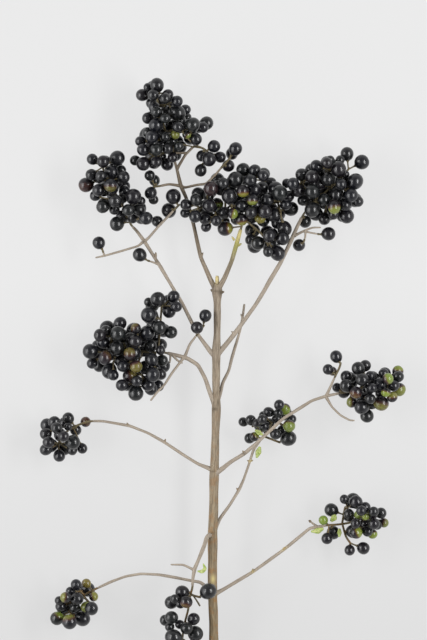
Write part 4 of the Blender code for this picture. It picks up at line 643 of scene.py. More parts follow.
def piece(name, bodies, material, slot, replaced, **attributes):
    """A finished piece: a smooth mesh in metres with its attributes, riding on the sprig."""
    verts, faces = closed_bodies(bodies)
    mesh = bpy.data.meshes.new(name)
    mesh.from_pydata((verts * MM).tolist(), [], faces)
    for key, values in attributes.items():
        kind_of_value, field = ("FLOAT_VECTOR", "vector") if np.ndim(values) == 2 else ("FLOAT", "value")
        layer = mesh.attributes.new(key, kind_of_value, "POINT")
        layer.data.foreach_set(field, np.ascontiguousarray(values, np.float32).ravel())
    mesh.shade_smooth()
    mesh.materials.append(material)
    made = put(name, mesh)
    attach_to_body(made, "root")
    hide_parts(replaced)
    return made

# %% [markdown]
# ## Materials: a few nodes each
#
# A material is a few nodes that feed one Principled shader. Colours are written as sRGB hex values, the
# way a colour picker shows them, but Blender counts light, so one function turns them to linear values.

# %% Colours and nodes
def linear(code):
    """An sRGB hex value as linear red, green, blue and 1.

    A channel c becomes c / 12.92 where it is dark, and ((c + 0.055) / 1.055) ** 2.4 elsewhere.
    """
    shown = np.array([int(code[i:i + 2], 16) for i in (1, 3, 5)]) / 255
    return (*np.where(shown <= 0.04045, shown / 12.92, ((shown + 0.055) / 1.055) ** 2.4).tolist(), 1.0)


def feed(tree, node, inputs):
    """Sets the inputs of a node, or links them where they are sockets or nodes, whose first output counts."""
    for key, value in inputs.items():
        if isinstance(value, bpy.types.Node):
            value = value.outputs[0]
        if isinstance(value, bpy.types.NodeSocket):
            tree.links.new(value, node.inputs[key])
        else:
            node.inputs[key].default_value = value


def add(tree, kind_of_node, inputs=None, ramp=None, **settings):
    """Adds a node with its own settings, its inputs and, for a colour ramp, its (place, colour) stops."""
    made = tree.nodes.new("ShaderNode" + kind_of_node)
    for key, value in settings.items():
        setattr(made, key, value)
    if ramp:
        while len(made.color_ramp.elements) < len(ramp):
            made.color_ramp.elements.new(0.5)
        for stop, (place, colour) in zip(made.color_ramp.elements, ramp):
            stop.position = place
            stop.color = linear(colour)
    feed(tree, made, inputs or {})
    return made


def material(name):
    """An empty material with its Principled shader, as (material, tree, shader)."""
    made = bpy.data.materials.new(name)
    made.use_nodes = True
    return made, made.node_tree, made.node_tree.nodes["Principled BSDF"]

# %% [markdown]
# ## Bark
#
# Young privet bark is thin, smooth and dull, taupe grey with a yellow-brown cast towards the foot, and
# has fine streaks along the twig and small raised breathing pores. Most side branches are greyer and
# paler. The streaks have to follow each twig round its bends, so the mesh carries its own coordinates:
# round the twig as a circle, which leaves no seam, and along it, both in millimetres. A noise squeezed
# along the third of them draws the streaks. The stalks inside a bunch are younger, with a smoother and
# darker green-brown skin.

# %% The bark of the stem and of the thin stalks
SQUEEZE = 0.12            # the noise is this much slower along the twig, which draws it out to streaks
FOOT_FROM, FOOT_TO = 0.02, -0.16    # metres, where the foot's colours start and where they are full
BLOTS = 0.25              # a millimetre, so each is about 4 mm wide
PORES = 0.7               # a millimetre, so they are about 1.4 mm apart
RUST = "#8a5f2c"          # the blots, towards the foot
GREY_VEIL = "#b5aca2"     # over the greyer side branches
# The dark colour is also laid over a few broad stretches of bark, not only over scars.
MARK_COLOURS = {"X": "#8f8f3c", "Y": "#cbbb80", "Z": "#453b2b"}    # green bark, bare wood and dark scars


def bark(name, colours, foot, streak_mm, roughness):
    """Bark: base colour from a streaky noise, mixed with the foot's colours and with those of its marks."""
    made, tree, shader = material(name)
    place, marks = (add(tree, "Attribute", attribute_name=key).outputs["Vector"]
                    for key in ("bark_place", "marks"))
    thin = add(tree, "Attribute", attribute_name="thin").outputs["Fac"]
    fine = 1 / streak_mm
    squeezed = add(tree, "VectorMath", {0: place, 1: (fine, fine, SQUEEZE / streak_mm)}, operation="MULTIPLY")
    streaks = add(tree, "TexNoise", {"Vector": squeezed, "Scale": 1.0, "Detail": 4.0, "Roughness": 0.6})
    tone = add(tree, "ValToRGB", {0: streaks}, ramp=colours)
    along = add(tree, "SeparateXYZ", {0: add(tree, "TexCoord").outputs["Object"]}).outputs["Y"]
    height = add(tree, "MapRange", {0: along, 1: FOOT_FROM, 2: FOOT_TO, 3: 0.0, 4: 1.0})
    thick = add(tree, "Math", {0: 1.0, 1: thin}, operation="SUBTRACT")
    low = add(tree, "Math", {0: height, 1: thick}, operation="MULTIPLY")
    colour = add(tree, "Mix", {0: low, 6: tone, 7: linear(foot)}, data_type="RGBA",
                 blend_type="MULTIPLY").outputs[2]
    blots = add(tree, "TexNoise", {"Vector": place, "Scale": BLOTS, "Detail": 3.0, "Roughness": 0.7})
    rusty = add(tree, "MapRange", {0: blots, 1: 0.5, 2: 0.62, 3: 0.0, 4: 0.75})
    layers = [(add(tree, "Math", {0: rusty, 1: low}, operation="MULTIPLY"), RUST),
              (add(tree, "Math", {0: thin, 1: 0.25}, operation="MULTIPLY"), GREY_VEIL)]
    parts = add(tree, "SeparateXYZ", {0: marks}).outputs
    layers += [(parts[channel], shown) for channel, shown in MARK_COLOURS.items()]
    for share, shown in layers:
        colour = add(tree, "Mix", {0: share, 6: colour, 7: linear(shown)}, data_type="RGBA").outputs[2]
    pores = add(tree, "TexVoronoi", {"Vector": place, "Scale": PORES, "Randomness": 1.0})
    grain = add(tree, "Math", {0: streaks, 1: pores.outputs["Distance"]}, operation="SUBTRACT")
    bump = add(tree, "Bump", {"Strength": 0.5, "Distance": 0.0002, "Height": grain})
    feed(tree, shader, {"Base Color": colour, "Normal": bump, "Roughness": roughness, "IOR": 1.45,
                        "Specular IOR Level": 0.35})
    return made


STEM_BARK = bark("young_privet_bark", [(0.3, "#685e51"), (0.5, "#887b6b"), (0.7, "#9e9383")],
                 foot="#e6dcbc", streak_mm=0.8, roughness=0.7)
STALK_BARK = bark("green_brown_stalk_skin", [(0.3, "#4a412f"), (0.55, "#675d44"), (0.75, "#7f765a")],
                  foot="#ffffff", streak_mm=0.5, roughness=0.6)
print(STEM_BARK.name, "and", STALK_BARK.name)

# %% [markdown]
# ## Berry skin
#
# A ripe privet berry has a thin, tight, waxy skin, nearly black, which mirrors the lamps as small bright
# spots and turns paler towards its rim. A few berries are still green, olive or red-brown, mostly on the
# side that was shaded. The mesh carries how ripe each point is, and a colour ramp turns that into colour.
# A second value, the same all over a berry, gives its black a faint blue, violet or green cast.

# %% The skin of the berries
# From green by olive and red-brown to black.
RIPENING = [(0.0, "#8fa83e"), (0.25, "#92963f"), (0.42, "#6d5a2d"), (0.56, "#4a2a22"), (0.72, "#2b2224"),
            (0.9, "#1b1b1e")]
# Greenish, plain, bluish and violet.
CASTS = [(0.0, "#a8c4b4"), (0.3, "#c8c8c8"), (0.6, "#a8b4d4"), (1.0, "#c8a8bc")]
BLOTCHES = 600.0          # a metre, so each is about 1.7 mm wide
WRINKLES = 1500.0         # a metre, so each is about 0.7 mm wide, coarser than real ones so that they show


def berry_skin():
    """Berry skin: ripeness with a little noise through a ramp, times a faint cast, under a clear wax coat."""
    made, tree, shader = material("waxy_berry_skin")
    ripe, cast = (add(tree, "Attribute", attribute_name=key).outputs["Fac"] for key in ("ripe", "cast"))
    place = add(tree, "TexCoord").outputs["Object"]
    blotch = add(tree, "TexNoise", {"Vector": place, "Scale": BLOTCHES, "Detail": 3.0})
    uneven = add(tree, "MapRange", {0: blotch, 1: 0.3, 2: 0.7, 3: -0.07, 4: 0.07})
    mixed = add(tree, "Math", {0: ripe, 1: uneven}, operation="ADD", use_clamp=True)
    colour = add(tree, "ValToRGB", {0: mixed}, ramp=RIPENING)
    hue = add(tree, "ValToRGB", {0: cast}, ramp=CASTS)
    tinted = add(tree, "Mix", {0: 0.8, 6: colour, 7: hue}, data_type="RGBA", blend_type="MULTIPLY").outputs[2]
    dull = add(tree, "MapRange", {0: blotch, 1: 0.3, 2: 0.7, 3: 0.24, 4: 0.36})
    wrinkle = add(tree, "TexNoise", {"Vector": place, "Scale": WRINKLES, "Detail": 2.0})
    bump = add(tree, "Bump", {"Strength": 0.06, "Distance": 0.0001, "Height": wrinkle})
    feed(tree, shader, {"Base Color": tinted, "Roughness": dull, "Normal": bump, "IOR": 1.45,
                        "Coat Weight": 0.35, "Coat Roughness": 0.2})
    return made


BERRY_SKIN = berry_skin()
print(BERRY_SKIN.name, "with", len(RIPENING), "steps of ripeness")

# %% [markdown]
# ## Bract leaf
#
# The last bracts are thin, soft and yellow-green, with paler blotches. Light passes through them, so they
# look bright even where they turn away from the lamps.

# %% The leaf of the bracts
def bract_leaf():
    """Leaf: green with yellow blotches of about 2 mm, and a share of light that passes through."""
    made, tree, shader = material("thin_green_leaf")
    place = add(tree, "TexCoord").outputs["Object"]
    blotch = add(tree, "TexNoise", {"Vector": place, "Scale": 500.0, "Detail": 3.0})
    colour = add(tree, "ValToRGB", {0: blotch}, ramp=[(0.35, "#869645"), (0.65, "#b2b87a")])
    bump = add(tree, "Bump", {"Strength": 0.3, "Distance": 0.0001, "Height": blotch})
    feed(tree, shader, {"Base Color": colour, "Normal": bump, "Roughness": 0.55, "Subsurface Weight": 0.3,
                        "Subsurface Radius": (0.0006, 0.001, 0.0003), "Subsurface Scale": 1.0})
    return made


BRACT_LEAF = bract_leaf()
print(BRACT_LEAF.name)

# %% [markdown]
# ## The woody stem
#
# Each twig is a tube, but a bare tube looks like wire. So its line is smoothed, it swells where it grows
# out of the thicker one, and its bark has low ridges along it. The function is a circle carried along the
# line, with a radius that depends on the place along it and on the angle round it. Six side branches are
# also slimmer past their root than their plain solids, as the photo shows them.

# %% A tube with bark
looks = np.random.default_rng(7)
SMOOTHED = 5              # times that each point moves halfway to the middle of its neighbours
SLIM_FROM = 5.0           # millimetres from the root over which a branch gets slim
COLLAR_LENGTH = 1.6       # millimetres over which the swelling at the root fades
LAST_RING = 0.75          # its size as a share, so that the end is rounded
WAVES = ((3, 0.11, 1.0), (5, -0.23, 1.0), (0, 0.35, 1.5))    # ridges: times round, turn a mm, strength
NOISE_APART = 40          # millimetres of noise between two twigs, so that no two have the same streaks


def even_line(points, step):
    """A row of points (x, y, z, radius) in even steps with rounded corners, as (way along it, points)."""
    points = np.array(points, float)
    pieces = np.sqrt((np.diff(points[:, :3], axis=0) ** 2).sum(1))
    far = np.concatenate([[0], np.cumsum(pieces)])
    way = np.linspace(0, far[-1], max(5, int(far[-1] / step) + 1))
    line = np.stack([np.interp(way, far, column) for column in points.T], 1)
    for _ in range(SMOOTHED):
        line[1:-1] = (line[:-2] + 2 * line[1:-1] + line[2:]) / 4
    return way, line


def square_to(ahead):
    """Two directions square to each direction and to each other."""
    helper = np.where(np.abs(ahead[..., 2:]) > 0.9, (1.0, 0, 0), (0, 0, 1.0))
    across = unit(np.cross(ahead, helper))
    return across, np.cross(ahead, across)


def angles(sides):
    """The angles of the points of a ring."""
    return 2 * np.pi * np.arange(sides) / sides


def round_about(across, up, sides):
    """The directions of the points of a ring: cos a · across + sin a · up."""
    a = angles(sides)[:, None]
    return np.cos(a) * across[..., None, :] + np.sin(a) * up[..., None, :]


def tube(points, sides, step, collar=0.0, ridge=0.0, slim=1.0):
    """A round tube: line(s) + r(s, a) · (cos a · across + sin a · up).

    r(s, a) = radius · (slim + (1 − slim) · e^(−s / SLIM_FROM) + collar · e^(−s / COLLAR_LENGTH)
    + ridge · waves), where waves is a sum of three waves round and along the twig.
    It returns (rings, ends) and, for the bark, (place, place at the ends).
    """
    way, line = even_line(points, step)
    across, up = square_to(unit(np.gradient(line[:, :3], axis=0)))
    s, a = way[:, None], angles(sides)[None]
    phase = looks.uniform(0, 6.28, 3)
    waves = sum(strength * np.sin(times * a + turn * s + shift)
                for (times, turn, strength), shift in zip(WAVES, phase))
    thinning = slim + (1 - slim) * np.exp(-s / SLIM_FROM)
    size = line[:, 3:] * (thinning + collar * np.exp(-s / COLLAR_LENGTH) + ridge * waves)
    size[-1] *= LAST_RING
    rings = line[:, None, :3] + size[..., None] * round_about(across, up, sides)
    ends = line[[0, -1], :3]
    place = np.stack([size * np.cos(a), size * np.sin(a), s + 0 * a], -1) + NOISE_APART * phase
    end_way = way[[0, -1]]
    end_place = np.stack([0 * end_way, 0 * end_way, end_way], -1) + NOISE_APART * phase
    return (rings[None], ends[None]), (place[None], end_place[None])

# %% [markdown]
# Buds sit where a twig swells. A bud is a short tube that ends in a point and grows forwards from the
# twig. Scars, bare wood, a green stretch and a few broad darker stretches are marks in the bark: soft
# spots of colour that the mesh carries.

# %% Buds, marks and the width of the side branches
# Each bud: where it grows (x, y, z), which way it points (x, y, z), its length and its radius.
BUDS = [(-12, 69.5, 18.5, 0.4, 0.9, 0.2, 3.2, 0.7), (6.5, 79, 25, -0.6, 0.8, 0.2, 2.6, 0.7),
        (8.5, 76, 25, 0.8, 0.5, 0.2, 2.4, 0.7), (-37, 69.5, 20, 0.1, 0.9, 0.5, 3.4, 0.8),
        (-43, 78.8, 20, -0.8, 0.5, 0.2, 2.0, 0.8), (-3.6, -13, 20, 0.3, 0.4, 0.9, 3.2, 0.9),
        (-5.3, -46, 20, -0.4, 0.4, 0.8, 3.0, 0.9), (-5.5, -80, 19.5, 0.2, 0.5, 0.8, 3.2, 0.9),
        (-5.4, -113.5, 19, 0.1, 0.5, 0.8, 3.3, 0.9), (-3.4, 17.5, 21, 0.2, 0.6, 0.8, 3.0, 0.8),
        (12, -38, 26, -0.5, 0.7, 0.4, 2.2, 0.6), (-32, -32, 19, 0.3, 0.8, 0.4, 2.2, 0.6),
        (6.5, 28, 22, -0.8, 0.4, 0.3, 2.2, 0.6), (-2.2, 50, 21.5, 1, 0.25, 0.1, 3.3, 1.0),
        (-4.4, 50.8, 21.5, -1, 0.5, 0.1, 2.6, 1.0), (16.4, -103.4, 18.6, 0.2, 1, 0.2, 2.0, 0.7),
        (33.4, -91, 16.6, 0.6, 0.8, 0.2, 1.8, 0.6), (-52, -22.6, 17.4, -0.4, 0.8, 0.2, 1.6, 0.6),
        (48.4, -75.8, 15.4, -1, 0.7, 0.2, 1.3, 0.8), (15, -42.8, 11.6, -0.9, 0.4, 0.3, 1.7, 0.6),
        (15.3, -42.6, 11.6, 0.9, 0.3, 0.2, 1.7, 0.6), (8.8, -58.8, 14.6, -0.6, 0.8, 0.2, 2.0, 0.7)]

# Marks on the bark: place (x, y), how far they reach across and along, and how strong they are.
MARKS = {
    "green bark": [(7.3, 78, 6, 9, 0.7)],
    "bare wood": [(8.2, 82, 6, 4, 0.7), (-3.4, 58, 1.2, 2.6, 0.95), (-5.3, -107.1, 1.2, 2.2, 0.8),
                  (15.2, -42.6, 1.2, 1, 0.5), (16.8, -103.4, 1.5, 1.3, 0.35),
                  (33.2, -90.4, 2.2, 1.6, 0.4)],
    "dark scar": [(-4.5, -13.8, 1.8, 0.8, 0.8), (-2.6, -10.2, 0.5, 1.8, 0.7), (-6.6, -11.5, 0.5, 1.2, 0.6),
                  (11.9, -38.1, 0.9, 0.9, 0.6), (-43.2, 78.7, 1.2, 1, 0.6), (-36.1, 67.7, 1.2, 1, 0.6),
                  (-47.5, 85, 2, 3.5, 0.7), (-5.4, -48, 1.4, 0.6, 0.5), (-5.5, -82, 1.4, 0.6, 0.5),
                  (-5.4, -115.5, 1.4, 0.6, 0.5), (-12, 67.5, 1.2, 0.8, 0.6), (-0.9, 50.4, 1.6, 1.8, 0.85),
                  # The last four of these are broad: they make long stretches of the top branch and its
                  # forks, of the centre twig and of the right middle branch darker, not single scars.
                  (-6.4, 51.7, 1, 1.6, 0.7), (-5.2, 56.6, 0.7, 4, 0.7), (-23, 116, 9, 14, 0.5),
                  (-14, 84, 7, 18, 0.55), (4, 66, 4, 7, 0.3), (43, -11, 10, 5, 0.15),
                  (-3, 51, 2.6, 0.7, 0.6), (47.8, -75.3, 0.9, 0.9, 0.8)],
}

# The twigs whose bark is as dark as the stem's. The others are greyer and paler.
DARK_TWIGS = ("stem", "dry_tip", "top", "top_left", "top_right", "top_fork", "top_spur", "centre")

# How slim a side branch is past its root, as a share of its solid's radius.
SLIM = {"left_upper": 0.84, "left_small": 0.72, "left_lower": 0.7, "right_lower": 0.74, "right_middle": 0.82,
        "under": 0.88}
print(len(BUDS), "buds,", sum(map(len, MARKS.values())), "marks and", len(SLIM), "slimmer branches")

# %% Build the stem
COLLAR = 0.35             # how much a twig swells at its root, as a share of its radius
RIDGE = 0.02              # how high the ridges of the bark are, as a share of the radius
BUD_STEPS = np.array([0, 0.5, 0.8, 1.0])[:, None]
BUD_SIZES = np.array([1.0, 1.0, 0.7, 0.25])[:, None]
BUD_SIDES, BUD_RINGS_EVERY = 12, 0.3    # the second in millimetres


def bark_marks(points):
    """One value a point for each kind of mark, that of the strongest mark of the kind there.

    A mark is strength · e^(−(x / across)² − (y / along)²), with x and y from its middle.
    """
    values = np.zeros((len(points), len(MARKS)))
    for channel, rows in enumerate(MARKS.values()):
        for x, y, across, along, strength in rows:
            near = np.exp(-((points[:, 0] - x) / across) ** 2 - ((points[:, 1] - y) / along) ** 2)
            values[:, channel] = np.maximum(values[:, channel], strength * near)
    return values


def woody_stem():
    """All twigs as tubes in one mesh, each with its root sunk in the thicker one, and the buds."""
    bodies, places, thin = [], [], []

    def grow(made, is_thin):
        body, place = made
        bodies.append(body)
        places.append(on_points(*place))
        thin.append(np.full(len(places[-1]), is_thin))

    for twig, points in TWIGS.items():
        thick = max(point[3] for point in points)
        # A thicker twig gets more points round it. The steps along it are in millimetres.
        sides, step = (32, 0.7) if twig == "stem" else (18, 0.7) if thick > 0.9 else (12, 0.6)
        collar = 0.0 if twig in ("stem", "dry_tip") else COLLAR
        is_thin = 0.0 if twig in DARK_TWIGS else 1.0
        grow(tube(points, sides, step, collar, RIDGE, SLIM.get(twig, 1.0)), is_thin)
    for x, y, z, dx, dy, dz, length, thick in BUDS:
        line = np.array([x, y, z]) + BUD_STEPS * length * unit(np.array([dx, dy, dz]))
        grow(tube(np.hstack([line, thick * BUD_SIZES]), BUD_SIDES, BUD_RINGS_EVERY), 0.0)
    return piece("stem_with_twigs", bodies, STEM_BARK, "bark", "woody_stem",
                 bark_place=np.concatenate(places), thin=np.concatenate(thin),
                 marks=bark_marks(closed_bodies(bodies)[0]))


stem = woody_stem()
print("stem:", len(stem.data.polygons), "faces")

# %% [markdown]
# ## Stalks and fruit stalks
#
# Inside a bunch the stalk branches, and each berry hangs on a short fruit stalk, which widens into a
# little cup, the calyx, where the berry sits. A tube for each, with the cup as part of its radius, is
# enough.

# %% Fruit stalks
CUP = 0.55                # millimetres that the calyx is wider than the fruit stalk
CUP_LENGTH = 0.7          # millimetres
PEDICEL_RADIUS = 0.42     # millimetres
PEDICEL_SIDES = 8
PEDICEL_STEPS = (0, 0.2, 0.4, 0.6, 0.75, 0.86, 0.94, 1.0)    # closer together at the calyx
BOW = 0.05                # how much a fruit stalk is bent, as a share of its length
INTO_BERRY = 0.9          # where it ends, as a share of the way from the berry's middle to its end

resting = kind == RESTING
axis = unit(centre - roots)
axis[resting] = (0, 0, -1)
foot = roots.copy()
foot[resting, :2] = centre[resting, :2]
half_length = BERRY_LENGTH * radius


def fruit_stalks(chosen):
    """Tubes from the stalk to each berry: middle(t) = foot + (base − foot) · t + bow · 4t(1 − t).

    The radius is PEDICEL_RADIUS + CUP · e^(−(way left / CUP_LENGTH)²), so it widens to the calyx.
    """
    t = np.array(PEDICEL_STEPS)[None, :, None]
    base = centre[chosen] - (INTO_BERRY * half_length[chosen])[:, None] * axis[chosen]
    across, up = square_to(axis[chosen])
    length = np.sqrt(((base - foot[chosen]) ** 2).sum(1))[:, None, None]
    bow = BOW * length * looks.normal(size=(len(chosen), 1, 1)) * across[:, None]
    line = foot[chosen][:, None] + (base - foot[chosen])[:, None] * t + bow * 4 * t * (1 - t)
    size = PEDICEL_RADIUS + CUP * np.exp(-(((1 - t) * length / CUP_LENGTH) ** 2))
    out = round_about(across, up, PEDICEL_SIDES)[:, None]
    return line[:, :, None] + size[..., None] * out, line[:, [0, -1]]


print(len(foot), "fruit stalks,", int(resting.sum()), "of them above a berry that the sprig rests on")

# %% [markdown]
# ## Berries
#
# A berry is a profile turned round its own axis, which runs from its fruit stalk to its tip. It is a
# little longer than wide, fuller towards the tip, and flat at both ends, where the fruit stalk is and the
# style was. A sphere would be the quick way, but these berries are not quite round, and no two are alike.

# %% How ripe each berry is
# Berries that aren't black: place (x, y), ripeness at the greener side and at the other, the direction (x, y)
# of the greener side, and where its edge is, from 1 (only a spot) to -1 (the whole berry). Ripeness 0 is
# green, 0.3 olive, 0.5 red-brown and 1 black.
PALE = [(-19.4, 137.2, 0.3, 0.9, 0.5, -0.5, 0.3), (-26, 136.8, 0.28, 0.7, 0, 0, -1),
        (-74.8, 109.5, 0.6, 0.9, 0, -1, -0.3), (-61.5, 109, 0.4, 0.95, 0, -1, 0.1),
        (-5.8, 107.1, 0.67, 0.85, 0, 0, -1), (10.8, 105.5, 0.12, 1, 0.1, -1, 0.3),
        (-2.9, 98.9, 0.1, 0.9, 0.2, -1, -0.1), (16.1, 100.3, 0.2, 1, 0, -1, 0.2),
        (1.6, 85.5, 0.12, 1, 1, 0.1, 0.35), (5.6, 93.4, 0.02, 0.9, 0.7, -0.2, 0.1),
        (10.3, 90.3, 0.2, 1, 0.2, -1, 0.35), (20.3, 90.8, 0.25, 0.6, 0, -0.5, -0.3),
        (60.8, 97.6, 0.15, 0.8, 0.2, -0.9, 0.1), (-47.7, 30.2, 0.42, 0.9, -0.5, 0.5, 0.2),
        (-50.7, 16.8, 0.4, 0.75, 0, 0.7, 0), (-64.7, 14.4, 0.5, 0.8, 0.5, 0.5, 0.3),
        (-47.1, 9.9, 0.32, 0.7, 0.2, -0.6, -0.3), (-50.7, 3.1, 0.35, 0.8, 0.8, 0.2, 0.1),
        (-75.1, -21.1, 0.5, 0.85, 0.3, 0.3, -0.3), (60.6, 6.9, 0.45, 0.85, 0.5, -0.6, 0.1),
        (72.7, -4.5, 0.45, 0.9, -0.3, -0.9, 0.1), (89.5, 3.2, 0.1, 0.7, 0.6, 0.3, -0.1),
        (96.4, 6.9, 0.1, 0.9, 0.2, 0.9, 0.2), (89, -4.1, 0.1, 0.9, -0.3, -0.9, -0.1),
        (97.3, -3.1, 0.2, 0.85, 0.3, -0.5, -0.1), (93.2, -6.8, 0.25, 0.9, 0, 0.5, 0),
        (70.8, -10, 0.25, 0.85, -0.8, 0, 0.1), (86.8, -10.5, 0.35, 0.8, -0.2, -0.8, 0),
        (34.2, -13.9, 0.15, 0.8, -0.1, -0.2, -0.3), (17.9, -29.3, 0.3, 0.9, 0.6, 0.6, 0.2),
        (36.4, -22.9, 0.15, 0.85, 0, -0.2, -0.2), (55.6, -74.9, 0.15, 0.6, 0, 0, -1),
        (74.9, -81.9, 0.1, 0.95, 0.8, 0.3, 0.1), (82.6, -82.6, 0.15, 0.85, 0.3, -0.7, -0.1),
        (75.4, -72, 0.15, 0.6, -0.4, 0.2, 0), (78.4, -72.3, 0.08, 0.3, 0, 0, -1),
        (88.8, -76.5, 0.3, 0.8, 0.6, -0.2, 0), (81.9, -71.4, 0.3, 0.8, 0, 0.3, 0.2),
        (-75.1, -109.9, 0.3, 0.8, 0.1, 0, -0.2), (-86.1, -116.9, 0.25, 0.95, -0.8, 0.1, 0.1),
        (-71.1, -116.9, 0.2, 0.9, 0.5, 0.2, -0.1), (-91.2, -129.2, 0.25, 0.95, 0.5, 0.7, 0.35),
        (-75.4, -122.3, 0.3, 0.7, 0, 0, -0.3), (-83.8, -130.4, 0.25, 0.95, -0.2, 0.8, 0.4),
        (-19.9, -119.1, 0.42, 0.95, -0.2, -0.9, 0.3)]

FORWARDS = 0.15           # how much the greener side faces the camera
FAR = 1e6                 # keeps berries of the rule, and those that have their colours, out of the choice
green_side = np.ones(len(centre))
other_side = np.ones(len(centre))
green_way = np.zeros((len(centre), 3))
green_edge = np.zeros(len(centre))
for x, y, low, high, dx, dy, edge in PALE:
    away = (centre[:, 0] - x) ** 2 + (centre[:, 1] - y) ** 2
    best = int(np.argmin(away + np.where((kind == ADDED) | (other_side < 1), FAR, 0)))
    green_side[best], other_side[best] = low, min(high, 0.99)
    green_way[best] = unit(np.array([dx, dy, FORWARDS]))
    green_edge[best] = edge
cast = looks.uniform(0, 1, len(centre))
print(int((other_side < 1).sum()), "of", len(centre), "berries are not quite ripe")

# %% Shape the berries
BERRY_WIDTH = 1.04        # half the width of a berry as a share of its radius
BERRY_RINGS, BERRY_SIDES = 11, 18
FULLER = 0.05             # how much wider it gets towards its tip
UNEVEN = 0.03             # how far it is from round, on average
END = 0.97                # where its flat ends are, as a share of half its length
EDGE_SHARPNESS = 1.5      # how fast the greener side changes into the other


def berries(chosen):
    """Berries: centre − cos p · length · axis + sin p · width · (1 − FULLER · cos p) · squeeze(a) · out(a).

    p runs from the stalk (0) to the tip (pi) and a once round, out(a) is cos a · across + sin a · up, and
    squeeze(a) makes the section of each berry an oval of its own. It returns the points of the rings and the
    ends, and the directions that they face.
    """
    p = np.linspace(0, np.pi, BERRY_RINGS + 2)[1:-1][None, :, None]
    a = angles(BERRY_SIDES)[None, None]
    turned = axis[chosen]
    across, up = square_to(turned)
    long = half_length[chosen][:, None, None]
    wide = BERRY_WIDTH * radius[chosen][:, None, None]
    squeeze = 1 + UNEVEN * looks.normal(size=(len(chosen), 1, 1)) * np.cos(2 * a)
    along = -np.cos(p) * long
    size = np.sin(p) * wide * (1 - FULLER * np.cos(p)) * squeeze
    out = round_about(across, up, BERRY_SIDES)[:, None]
    middle = centre[chosen][:, None, None]
    rings = middle + along[..., None] * turned[:, None, None] + size[..., None] * out
    poles = np.stack([centre[chosen] + way * long[:, 0] * END * turned for way in (-1, 1)], 1)
    facing = unit(rings - middle)
    end_facing = unit(poles - centre[chosen][:, None])
    return (rings, poles), (facing, end_facing)


def ripeness(chosen, facing):
    """Ripeness at each point: a mix of both sides' values by how much the point faces the greener side."""
    way = green_way[chosen][:, None]
    flat = facing.reshape(len(chosen), -1, 3)
    share = np.clip(0.5 + EDGE_SHARPNESS * ((flat * way).sum(-1) - green_edge[chosen][:, None]), 0, 1)
    low, high = green_side[chosen][:, None], other_side[chosen][:, None]
    return (high + (low - high) * share).reshape(facing.shape[:-1])

# %% Build the bunches
TO_TWIG = 0.3             # millimetres that the first stalk reaches back across the gap to its twig
STALK_RINGS_EVERY = 0.8   # millimetres
# Fruit stalks that have lost their berry, as points (x, y, z, radius).
BARE_STALKS = {"bunch_foot": [[(-17, -115, 26, 0.4), (-14.4, -118.3, 27, 0.4), (-12.4, -121.7, 27.5, 0.55)]]}

total = 0
for index, bunch in enumerate(BUNCHES):
    chosen = np.flatnonzero(number == index)
    body, (facing, end_facing) = berries(chosen)
    ripe = on_points(ripeness(chosen, facing), ripeness(chosen, end_facing))
    fruit = piece(bunch + "_berries", [body], BERRY_SKIN, "berry", bunch, ripe=ripe,
                  cast=np.repeat(cast[chosen], len(ripe) // len(chosen)))
    body = fruit_stalks(chosen)
    bodies, places = [body], [on_points(*body)]
    lines = [[(*point, STALK_RADIUS) for point in line] for line in stalks[index]]
    first, second = np.array(stalks[index][0][:2], float)
    lines[0][0] = (*(first + TO_TWIG * unit(first - second)).tolist(), STALK_RADIUS)
    for line in lines + BARE_STALKS.get(bunch, []):
        body, place = tube(line, PEDICEL_SIDES, STALK_RINGS_EVERY)
        bodies.append(body)
        places.append(on_points(*place))
    wood = piece(bunch + "_stalks", bodies, STALK_BARK, "bark", bunch, bark_place=np.concatenate(places))
    total += len(fruit.data.polygons) + len(wood.data.polygons)
print("bunches:", total, "faces")

# %% [markdown]
# ## Bracts
#
# Six small bracts are left. Each is a thin cupped blade: a flat ellipse carried along its middle line and
# bent up at its edges. Most are broader than their plain solids, because their edges are so thin.

# %% The bracts
BRACT_SIDES = 14
BRACT_STEP = 0.25         # millimetres between rings
BLADE = 0.16              # millimetres, half its thickness
CUPPED = 0.35             # how far its edges are bent up, as a share of its half width
BROADER = 1.3             # its width as a share of its solid's, apart from these two
BROAD = {"bract_foot_curled": 1.0, "bract_lower_fork": 1.5}


def bract(name, points, broad):
    """A blade: line(s) + wide(s) · cos a · across + (BLADE · sin a + CUPPED · wide(s) · cos² a) · up."""
    _, line = even_line(points, BRACT_STEP)
    across, up = square_to(unit(np.gradient(line[:, :3], axis=0)))
    a = angles(BRACT_SIDES)[None]
    wide = broad * line[:, 3:]
    rise = BLADE * np.sin(a) + CUPPED * wide * np.cos(a) ** 2
    rings = line[:, None, :3] + (wide * np.cos(a))[..., None] * across[:, None]
    rings += rise[..., None] * up[:, None]
    return piece(name + "_leaf", [(rings[None], line[[0, -1], :3][None])], BRACT_LEAF, "bract", name)


for name, points in BRACTS.items():
    bract(name, points, BROAD.get(name, BROADER))
print(len(BRACTS), "bracts")

# %% [markdown]
# ## The studio
#
# The table is a plain pale surface that glows a little itself, like a light table, so that shadows almost
# vanish. Two narrow soft lamps stand left and right at about 45 degrees, and each berry mirrors both as
# small bright spots. A broad dim one on the left lights the shaded side of the stem, and a pale wall all
# round gives the berries their lighter rim.

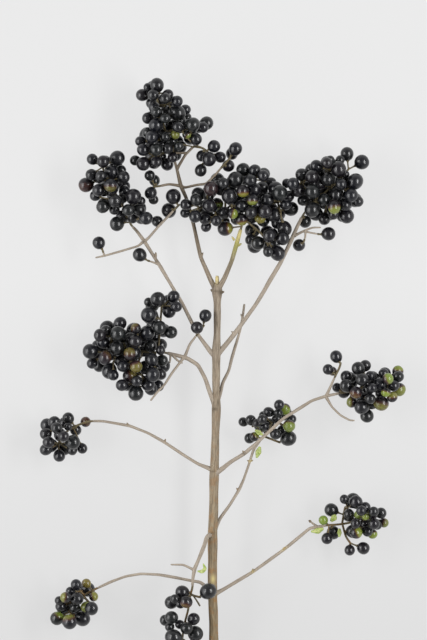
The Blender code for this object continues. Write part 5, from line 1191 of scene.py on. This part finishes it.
# %% The floor
TABLE_HALF = 4.0          # metres
GLOW = (0.596, 0.68)      # strength below the foot of the sprig and above its middle
GLOW_FROM, GLOW_TO = -0.16, 0.06    # metres, where the first ends and the second starts


def table():
    """A large square under the sprig, grey and quite dull, with a glow that is weaker at the sprig's foot."""
    mesh = bpy.data.meshes.new("table")
    corners = [(x * TABLE_HALF, y * TABLE_HALF, 0) for x, y in ((-1, -1), (1, -1), (1, 1), (-1, 1))]
    mesh.from_pydata(corners, [], [(0, 1, 2, 3)])
    made = put("table", mesh)
    paint, tree, shader = material("light_table")
    along = add(tree, "SeparateXYZ", {0: add(tree, "TexCoord").outputs["Object"]}).outputs["Y"]
    glow = add(tree, "MapRange", {0: along, 1: GLOW_FROM, 2: GLOW_TO, 3: GLOW[0], 4: GLOW[1]})
    feed(tree, shader, {"Base Color": linear("#5c5c5c"), "Roughness": 0.9, "Specular IOR Level": 0.0,
                        "Emission Color": linear("#ffffff"), "Emission Strength": glow})
    mesh.materials.append(paint)


table()
print("a table of", 2 * TABLE_HALF, "metres")

# %% Lamps and surroundings
def lamp(name, place, size, power):
    """A soft lamp of that size in metres, turned to the sprig."""
    light = bpy.data.lights.new(name, "AREA")
    light.shape = "RECTANGLE"
    light.size, light.size_y = size
    light.energy = power
    made = put(name, light)
    made.location = place
    made.rotation_euler = (-Vector(place)).to_track_quat("-Z", "Y").to_euler()
    print(name, power, "watts")


lamp("left_lamp", (-0.85, 0.1, 0.85), (0.95, 0.26), 6.0)
lamp("left_wall", (-1.1, -0.1, 0.55), (1.6, 0.9), 9.0)
lamp("right_lamp", (0.75, 0.1, 0.9), (0.95, 0.26), 12.0)

world = bpy.data.worlds.new("studio")
bpy.context.scene.world = world
world.use_nodes = True
sky = world.node_tree
height = add(sky, "SeparateXYZ", {0: add(sky, "TexCoord").outputs["Generated"]}).outputs["Z"]
shade = add(sky, "MapRange", {0: height, 1: 0.1, 2: 0.75, 3: 0.85, 4: 0.22})    # pale low down, grey above
feed(sky, sky.nodes["Background"], {"Color": linear("#ffffff"), "Strength": shade})
bpy.context.scene.view_settings.view_transform = "Standard"
